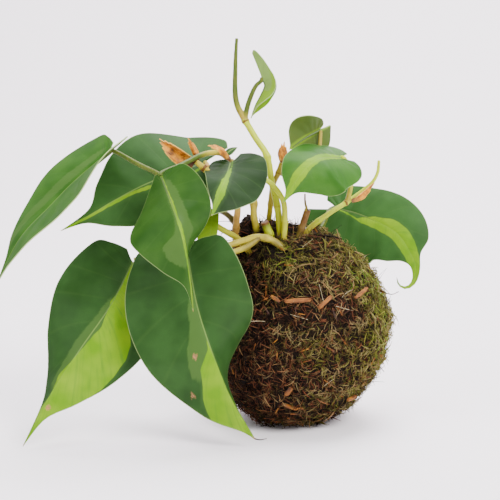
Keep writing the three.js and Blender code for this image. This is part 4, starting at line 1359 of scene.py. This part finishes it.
class MOSSBALL_OT_sheaths(bpy.types.Operator):
    """Models the dry sheaths at the nodes"""

    bl_idname = "mossball.sheaths"
    bl_label = "Dry sheaths"

    def execute(self, context):
        props = context.scene.mossball_sheaths
        paper = papery_sheath(props)
        for name, (rib, faces, half, fold, curl) in SHEATHS.items():
            side = {"half": half, "fold": (fold, fold), "curl": curl}
            leaf = {"rib": rib, "faces": [faces, faces], "left": side, "right": side, "lance": True}
            piece = blade_mesh(
                f"{name}_dressed", leaf, columns=24, rows=44, thickness=props.thickness, quilt=0.1,
                materials=[paper] * 3,
            )
            share, across = (
                read(piece.data.attributes[key].data, "value") for key in ("share", "across")
            )
            places = places_of(piece.data)
            # wrinkles run along the sheath and its end is frayed; both faces move together
            wave = np.sin(2.6 * across + 5 * share) * np.sin(9 * share + across)
            lift = props.wrinkle * MM * (0.5 * wave + 0.6 * smooth_noise(places, 3.0))
            fray = np.clip((share - 0.6) / 0.4, 0, 1) * np.sin(4.5 * across) * 1.2 * MM
            _, tangent, upward, _ = rib_frame(leaf, np.clip(share, 0, 1))
            set_places(piece.data, places + upward * lift[:, None] - tangent * fray[:, None])
            settle(piece, "sheath", name)
        return {"FINISHED"}


class MOSSBALL_OT_stems(bpy.types.Operator):
    """Models the stems, leaf stalks and stubs"""

    bl_idname = "mossball.stems"
    bl_label = "Stems"

    def execute(self, context):
        props = context.scene.mossball_stems
        rinds = {
            slot: stem_rind(name, foot, body, tip, props)
            for slot, name, foot, body, tip in (
                ("stem_green", "green stem rind", props.green_foot, props.green, props.green_tip),
                ("stem_beige", "beige stem rind", props.stub, props.beige, props.green_foot),
                ("stem_pink", "pink stem rind", props.node_brown, props.pink, props.beige),
                ("stem_olive", "olive stem rind", props.stub, props.olive, props.olive),
                ("stub_brown", "brown stub rind", props.green_foot, props.stub, props.node_brown),
            )
        }
        for name, stem in STEMS.items():
            piece = stem_mesh(f"{name}_dressed", stem, props.step, props.voxel)
            dress(piece, rinds[stem.get("rind", stem["slot"])], stem["slot"], name)
        return {"FINISHED"}


class MOSSBALL_OT_soil(bpy.types.Operator):
    """Models the soil ball, its crown and the root clump"""

    bl_idname = "mossball.soil"
    bl_label = "Soil"

    def execute(self, context):
        soil = peat_material("damp peaty soil", srgb("#0c0806"), srgb("#2a1a12"), 1.4)
        core = new_form(bpy.ops.mesh.primitive_uv_sphere_add, segments=64, ring_count=40, radius=1)
        set_places(core.data, ball_places(places_of(core.data), SOIL_INSET) * MM)
        lumps = []
        for x, y, z, length, width, height in (CROWN, ROOT_CLUMP):
            deselect_all()
            bpy.ops.mesh.primitive_ico_sphere_add(subdivisions=4, radius=1, location=(x * MM, y * MM, z * MM))
            lump = bpy.context.object
            lump.scale = (length * MM, width * MM, height * MM)
            bpy.ops.object.transform_apply(location=True, rotation=True, scale=True)
            lumps.append(lump)
        piece = name_piece(join_into(core, lumps), "soil_ball_dressed")
        apply_modifier(piece, "REMESH", mode="VOXEL", voxel_size=1.0 * MM)
        places = places_of(piece.data)
        lift = 0.9 * smooth_noise(places, 3.2) + 0.5 * smooth_noise(places, 1.5)
        normals = read(piece.data.vertices, "normal", 3)
        set_places(piece.data, places + normals * (lift * MM)[:, None])
        dress(piece, soil, "soil", "soil_ball")
        return {"FINISHED"}


class MOSSBALL_OT_moss_mat(bpy.types.Operator):
    """Models the felted mat that the moss strands grow from"""

    bl_idname = "mossball.moss_mat"
    bl_label = "Moss mat"

    def execute(self, context):
        mat = peat_material("felted foot of the moss", srgb("#0b0705"), srgb("#21160c"), 1.1)
        piece = name_piece(new_form(
            bpy.ops.mesh.primitive_uv_sphere_add, segments=200, ring_count=110, radius=1,
        ), "moss_mat")
        directions = places_of(piece.data)
        places = ball_places(directions, MAT_INSET, MAT_LUMP)
        rough = 1.1 * smooth_noise(places * MM, 5.5) + 0.7 * smooth_noise(places * MM, 2.2)
        places = places + unit(directions) * rough[:, None]
        sunk = np.clip((1.05 - mouth_share(places)) * 4, 0, 1) * (places[:, 2] > 60)
        places[:, 2] = places[:, 2] * (1 - sunk) + np.minimum(places[:, 2], MOUTH["floor"]) * sunk
        places[:, 2] = np.maximum(places[:, 2], 0.4)
        set_places(piece.data, places * MM)
        dress(piece, mat, "moss", "moss_jacket")
        return {"FINISHED"}


class MOSSBALL_OT_moss_strands(bpy.types.Operator):
    """Spreads moss strands and fronds over the mat"""

    bl_idname = "mossball.moss_strands"
    bl_label = "Moss strands"

    def execute(self, context):
        props = context.scene.mossball_moss
        random = np.random.default_rng(SEED)
        moss = moss_material(props)
        strand = form_data(strand_form(1.0, 0.12, 0.35))
        curl = form_data(strand_form(1.0, 0.11, 0.7))
        frond = form_data(frond_form(1.0, 9))
        length = props.strand_length
        # name, form, share of the count, lean range in degrees, lift in mm, size, how green
        layers = [
            ("moss_strands_under", strand, 0.36, (60, 92), (-0.6, 0.9), 1.15, -0.22),
            ("moss_strands_over", strand, 0.34, (48, 88), (0.2, 2.0), 1.0, 0.0),
            ("moss_strands_curled", curl, 0.3, (35, 85), (0.2, 2.0), 0.85, 0.02),
            ("moss_fronds_low", frond, 0.36, (55, 88), (-0.2, 1.2), 0.8, 0.05),
            ("moss_fronds_high", frond, 0.34, (40, 82), (0.4, 1.9), 0.75, 0.1),
            ("moss_fronds_fine", frond, 0.3, (25, 80), (0.4, 1.8), 0.55, 0.12),
        ]
        for name, form, part, (low, high), (under, over), size, greener in layers:
            total = props.fronds if "frond" in name else props.strands
            count = int(total * part)
            place, normal = points_on_mat(count, random)
            keep = (place[:, 2] > 1.5 * MM) | (random.random(count) < 0.15)
            keep &= (mouth_share(place / MM) > 0.75) | (place[:, 2] < 60 * MM)
            # clumps with hollows between them, where fewer strands stand and those are painted darker below
            clump = smooth_noise(place, 5.5) + 0.6 * smooth_noise(place + 1, 2.4)
            keep &= random.random(len(place)) < np.clip(1.1 + 1.6 * clump, 0.25, 1)
            place, normal, clump = place[keep], normal[keep], clump[keep]
            count = len(place)
            lean = np.radians(random.uniform(low, high, count))
            axes = lean_axes(normal, lean, random)
            lift = random.uniform(under, over, count) + 1.6 * np.clip(clump, -0.8, 0.8)
            place = place + normal * (lift * MM)[:, None]
            mm = place / MM
            # painted light and shade: strands on the left and low on the ball are darkened, those on raised
            # cushions lightened and those in hollows darkened, with a random spread
            shaded = 0.45 * np.clip((-2 - mm[:, 0]) / 20, 0, 1) + 0.2 * np.clip((30 - mm[:, 2]) / 25, 0, 1)
            light = np.clip(0.88 - shaded + 1.1 * clump + random.normal(0, 0.28, count), 0, 1.4)
            sizes = length * size * np.exp(random.normal(0, 0.28, count))
            green = np.clip(greenness(place) + greener, 0, 1)
            living = random.random(count) < green
            tint = np.where(
                living,
                0.5 + 0.5 * green * random.random(count) ** 0.8,
                0.42 * random.random(count) ** 0.95,
            )
            piece = spread(name, form, place, axes, sizes, {"tint": tint, "light": light}, moss)
            settle(piece, "moss")
        return {"FINISHED"}


class MOSSBALL_OT_crown_litter(bpy.types.Operator):
    """Spreads crumbs and moss over the soil crown"""

    bl_idname = "mossball.crown_litter"
    bl_label = "Crown litter"

    def execute(self, context):
        props = context.scene.mossball_moss
        random = np.random.default_rng(SEED + 1)
        soil = bpy.data.objects["soil_ball_dressed"]
        strand = form_data(strand_form(1.0, 0.085, 0.5))
        crumb = form_data(new_form(bpy.ops.mesh.primitive_ico_sphere_add, subdivisions=1, radius=1))
        place, normal = points_on(*triangles_of(soil.data), CROWN_TRIES, random)
        top = place[:, 2] > 97 * MM
        place, normal = place[top], normal[top]
        count = len(place)
        axes = lean_axes(normal, np.radians(random.uniform(0, 90, count)), random)
        axes *= random.uniform(0.6, 1.2, (count, 3, 1))
        crumbs = spread(
            "soil_crumbs", crumb, place, axes, random.uniform(0.35, 1.1, count) * MM, {},
            bpy.data.materials["damp peaty soil"],
        )
        settle(crumbs, "soil")
        place, normal = points_on(*triangles_of(soil.data), CROWN_TRIES, random)
        clump = np.hypot(place[:, 0] / MM + 23, place[:, 1] / MM + 8) < 7.5
        top = (place[:, 2] > 99 * MM) & ((~clump) | (random.random(len(place)) < 0.25))
        place, normal = place[top], normal[top]
        count = len(place)
        axes = lean_axes(normal, np.radians(random.uniform(30, 88, count)), random)
        green = np.clip(greenness(place) - 0.25, 0, 1)
        tint = np.where(random.random(count) < green, 0.55 + 0.3 * random.random(count),
                        0.45 * random.random(count))
        litter = spread(
            "crown_moss", strand, place, axes, random.uniform(3, 7, count) * MM,
            {"tint": tint, "light": random.uniform(0.1, 1.2, count)},
            bpy.data.materials["sheet moss strands"],
        )
        settle(litter, "moss")
        return {"FINISHED"}


class MOSSBALL_OT_filaments(bpy.types.Operator):
    """Models the loose roots and stray filaments"""

    bl_idname = "mossball.filaments"
    bl_label = "Filaments"

    def execute(self, context):
        random = np.random.default_rng(SEED + 2)
        dark = peat_material("dry root filament", srgb("#1c120c"), srgb("#4a3020"), 1.0)
        pale = peat_material("bleached moss stalk", srgb("#a89a78"), srgb("#cfc4a4"), 1.0)
        place, normal = points_on_mat(LOOSE_FILAMENTS, random)
        keep = place[:, 2] > 8 * MM
        place, normal = place[keep] / MM, normal[keep]
        filaments = {"dark": [], "pale": []}
        for i, (p, n) in enumerate(zip(place, normal)):
            reach = random.uniform(5, 10)
            aside = unit(np.cross(n, random.normal(size=3)))
            rise = random.uniform(0.15, 0.5)
            bend = random.normal(0, 0.25, 3)
            steps = np.linspace(0, 1, 7)[:, None]
            line = p + n * (1.5 + reach * rise * steps) + aside * reach * steps + bend * reach * steps ** 2
            key = "pale" if i % 4 == 0 else "dark"
            filaments[key].append(tube("filament", line, 0.14 * (1 - 0.7 * steps[:, 0]) + 0.03, sides=4))
        # strays that stand out from the ball's right-hand side, and the dry filament at a leaf tip
        strays = [
            [(44, -10, 74), (49, -12, 71.5), (53, -13, 70.5), (56.5, -13, 72)],
            [(45, -8, 56), (51, -9, 54.5), (54.5, -10, 54.8)],
            [(42, -14, 42), (48, -16, 39), (51.5, -17, 35.5)],
            [(40, -14, 38), (45, -17, 34.5), (49, -18, 30)],
            [(-19.2, -60, 5.4), (-16.5, -60.3, 4.9), (-13, -60.5, 5.6)],
        ]
        for points in strays:
            line, share, _ = stem_line(points, 1.2)
            filaments["dark"].append(tube("stray", line, 0.28 * (1 - 0.6 * share) + 0.06, sides=4))
        # wiry roots in the clump between the stems
        for _ in range(CLUMP_ROOTS):
            start = np.array([-22, -8, 98]) + random.normal(0, (4, 3.2, 2.2))
            steps = random.normal(0, 2.4, (6, 3))
            steps[:, 2] = np.abs(steps[:, 2]) * 0.9 * (1 - np.arange(6) / 4)
            line, share, _ = stem_line(start + np.vstack([np.zeros(3), np.cumsum(steps, axis=0)]), 0.9)
            line[:, 2] = np.minimum(line[:, 2], 112)
            filaments["dark"].append(tube("root", line, 0.24 * (1 - 0.5 * share) + 0.05, sides=4))
        for key, material, name in (("dark", dark, "root_filaments"), ("pale", pale, "pale_filaments")):
            piece = name_piece(join_into(filaments[key][0], filaments[key][1:]), name)
            dress(piece, material, "moss")
        return {"FINISHED"}


class MOSSBALL_OT_bark_flakes(bpy.types.Operator):
    """Models the bark flakes caught in the moss, and the small chips around them"""

    bl_idname = "mossball.bark_flakes"
    bl_label = "Bark flakes"

    def execute(self, context):
        props = context.scene.mossball_moss
        random = np.random.default_rng(SEED + 3)
        bark = bark_material(props)
        for number, (heading, height, length, tilt, width) in enumerate(BARK_FLAKES, 1):
            piece = name_piece(
                new_form(bpy.ops.mesh.primitive_cube_add, size=2), f"bark_flake_{number}_dressed",
            )
            edit_mesh(piece, lambda: bpy.ops.mesh.subdivide(number_cuts=9))
            corners = places_of(piece.data)
            along, across, thick = corners.T
            ragged = smooth_noise(corners * [0, 1, 1] + [7 * number, 0, 0], 500) * 0.35
            taper = 1 - 0.5 * np.clip(np.abs(along) - 0.55, 0, 1)
            taper += 0.18 * smooth_noise(corners * [1, 0, 0] + [number, 3, 0], 500)
            local = np.stack([
                along * length / 2 * (1 + ragged * (np.abs(along) > 0.75)),
                across * 0.85 * width / 2 * taper,
                thick * 0.6 * (1 + 0.4 * smooth_noise(corners + number, 600)) - 0.25 * along ** 2
                - 0.25 * across ** 2,
            ], 1)
            middle, lengthwise, sideways, outward = flake_axes(heading, height, tilt)
            middle = middle + outward * (FLAKE_THICKNESS / 2 - FLAKE_SINK)
            places = middle + local @ np.stack([lengthwise, sideways, outward])
            set_places(piece.data, places * MM)
            set_attribute(piece.data, "grain_along", along * length * 0.12 + number)
            set_attribute(piece.data, "grain_across", across * width * 2.2)
            piece.data.materials.append(bark)
            apply_modifier(piece, "BEVEL", width=0.12 * MM, segments=1, limit_method="ANGLE",
                           angle_limit=math.radians(60))
            activate(piece)
            bpy.ops.object.shade_smooth_by_angle(angle=math.radians(40))
            settle(piece, "bark", f"bark_flake_{number}")
        # small splinters of bark all round the ball
        splinter = form_data(new_form(
            bpy.ops.mesh.primitive_cone_add, vertices=5, radius1=0.1, radius2=0.05, depth=1,
            location=(0, 0, 0.5),
        ))
        place, normal = points_on_mat(SPLINTERS, random)
        keep = (place[:, 2] > 4 * MM) & (place[:, 2] < 103 * MM)
        place, normal = place[keep], normal[keep]
        count = len(place)
        axes = lean_axes(normal, np.radians(random.uniform(78, 96, count)), random)
        place = place + normal * (random.uniform(1.2, 2.4, count) * MM)[:, None]
        marks = {"grain_along": random.random(count) * 9, "grain_across": random.random(count) * 9}
        chips = spread(
            "bark_splinters", splinter, place, axes, random.uniform(2.2, 5.5, count) * MM, marks, bark,
        )
        settle(chips, "bark")
        return {"FINISHED"}


# What the camera looks at, in metres, and its lens and sensor, in mm.
AIM = (-0.0215, 0, 0.092)
LENS = 122.26
SENSOR = 36


class MOSSBALL_OT_stage(bpy.types.Operator):
    """Sets up the backdrop, the soft light and the camera"""

    bl_idname = "mossball.stage"
    bl_label = "Stage"

    def execute(self, context):
        props = context.scene.mossball_stage
        material, add = start_material("matte backdrop paper")
        spot = add("TexCoord", out="Object")
        clouds = add("TexNoise", {}, {"Vector": spot, "Scale": 1.5, "Detail": 2.0})
        wall = tuple(props.wall)
        lighter = tuple(min(1, 1.04 * c) for c in wall)
        tone = add("Mix", RGBA, {FACTOR: clouds, FROM: wall, TO: lighter}, MIXED)
        surface = add("BsdfPrincipled", {}, {
            "Base Color": tone, "Roughness": 0.9, "Specular IOR Level": 0.1,
        })
        add("OutputMaterial", {}, {"Surface": surface})

        # a sheet of paper that lies on the floor and sweeps up behind the plant
        sweep = name_piece(new_form(
            bpy.ops.mesh.primitive_grid_add, x_subdivisions=2, y_subdivisions=60, size=2,
        ), "backdrop")
        flat = places_of(sweep.data)
        run = (flat[:, 1] + 1) * 3.0
        bend_from, bend_radius = 2.6, 0.9
        turn = np.clip((run - bend_from) / bend_radius, 0, math.pi / 2)
        rest = np.maximum(run - bend_from - bend_radius * math.pi / 2, 0)
        depth = np.minimum(run, bend_from) + bend_radius * np.sin(turn)
        sweep_places = np.stack([
            flat[:, 0] * 3, depth - 2.0, bend_radius * (1 - np.cos(turn)) + rest,
        ], 1)
        set_places(sweep.data, sweep_places)
        sweep.data.materials.append(material)
        activate(sweep)
        bpy.ops.object.shade_smooth()

        lights = [
            ("key_light", (0.75, -1.05, 1.15), 0.9, props.key, (1.0, 0.985, 0.96)),
            ("fill_light", (-1.1, -0.9, 0.75), 1.1, props.fill, (0.97, 0.98, 1.0)),
            ("top_light", (0.1, 0.25, 1.35), 1.0, props.top, (1.0, 1.0, 1.0)),
            ("wall_light", (0.35, 0.75, 1.5), 1.2, props.back, (1.0, 0.96, 1.0)),
        ]
        plant, wall_middle = Vector((-0.02, 0, 0.09)), Vector((0.15, 1.45, 0.3))
        for name, place, size, power, colour in lights:
            aim = wall_middle if name == "wall_light" else plant
            deselect_all()
            bpy.ops.object.light_add(type="AREA", location=place)
            light = bpy.context.object
            light.name = name
            light.data.shape = "DISK"
            light.data.size = size
            light.data.energy = power
            light.data.color = colour
            light.rotation_euler = (aim - Vector(place)).to_track_quat("-Z", "Y").to_euler()

        world = bpy.data.worlds.new("pale room")
        world.use_nodes = True
        world.node_tree.nodes.clear()
        glow = add_node(world.node_tree, "Background", {}, {
            "Color": (0.93, 0.93, 0.96), "Strength": props.sky,
        })
        add_node(world.node_tree, "OutputWorld", {}, {"Surface": glow})
        context.scene.world = world

        target = Vector(AIM)
        back = Vector((0, -math.cos(props.elevation), math.sin(props.elevation)))
        bpy.ops.object.camera_add(location=target + back * props.distance)
        camera = bpy.context.object
        camera.name = "camera"
        camera.rotation_euler = (-back).to_track_quat("-Z", "Y").to_euler()
        camera.data.sensor_width = SENSOR
        camera.data.lens = LENS
        camera.data.clip_start = 0.01
        context.scene.camera = camera
        return {"FINISHED"}


class MOSSBALL_PT_panel(bpy.types.Panel):
    """The steps and sizes of the plant"""

    bl_idname = "MOSSBALL_PT_panel"
    bl_label = "Moss ball plant"
    bl_space_type = "VIEW_3D"
    bl_region_type = "UI"
    bl_category = "Moss Ball"

    def draw(self, context):
        for group, steps in STEPS.items():
            box = self.layout.box()
            settings = getattr(context.scene, group)
            for key in settings.__annotations__:
                box.prop(settings, key)
            for step in steps:
                box.operator(step.bl_idname)


SETTINGS = {
    "mossball_leaves": LeafSettings,
    "mossball_sheaths": SheathSettings,
    "mossball_stems": StemSettings,
    "mossball_moss": MossSettings,
    "mossball_stage": StageSettings,
}
STEPS = {
    "mossball_leaves": [MOSSBALL_OT_leaves],
    "mossball_sheaths": [MOSSBALL_OT_sheaths],
    "mossball_stems": [MOSSBALL_OT_stems],
    "mossball_moss": [
        MOSSBALL_OT_soil, MOSSBALL_OT_moss_mat, MOSSBALL_OT_moss_strands, MOSSBALL_OT_crown_litter,
        MOSSBALL_OT_filaments, MOSSBALL_OT_bark_flakes,
    ],
    "mossball_stage": [MOSSBALL_OT_stage],
}


def register():
    for key, settings in SETTINGS.items():
        bpy.utils.register_class(settings)
        setattr(bpy.types.Scene, key, bpy.props.PointerProperty(type=settings))
    for steps in STEPS.values():
        for step in steps:
            bpy.utils.register_class(step)
    bpy.utils.register_class(MOSSBALL_PT_panel)


def unregister():
    bpy.utils.unregister_class(MOSSBALL_PT_panel)
    for steps in STEPS.values():
        for step in steps:
            bpy.utils.unregister_class(step)
    for key, settings in SETTINGS.items():
        delattr(bpy.types.Scene, key)
        bpy.utils.unregister_class(settings)


def main():
    register()
    bpy.ops.mossball.leaves()
    bpy.ops.mossball.sheaths()
    bpy.ops.mossball.stems()
    bpy.ops.mossball.soil()
    bpy.ops.mossball.moss_mat()
    bpy.ops.mossball.moss_strands()
    bpy.ops.mossball.crown_litter()
    bpy.ops.mossball.filaments()
    bpy.ops.mossball.bark_flakes()
    bpy.ops.mossball.stage()


if __name__ == "__main__":
    main()
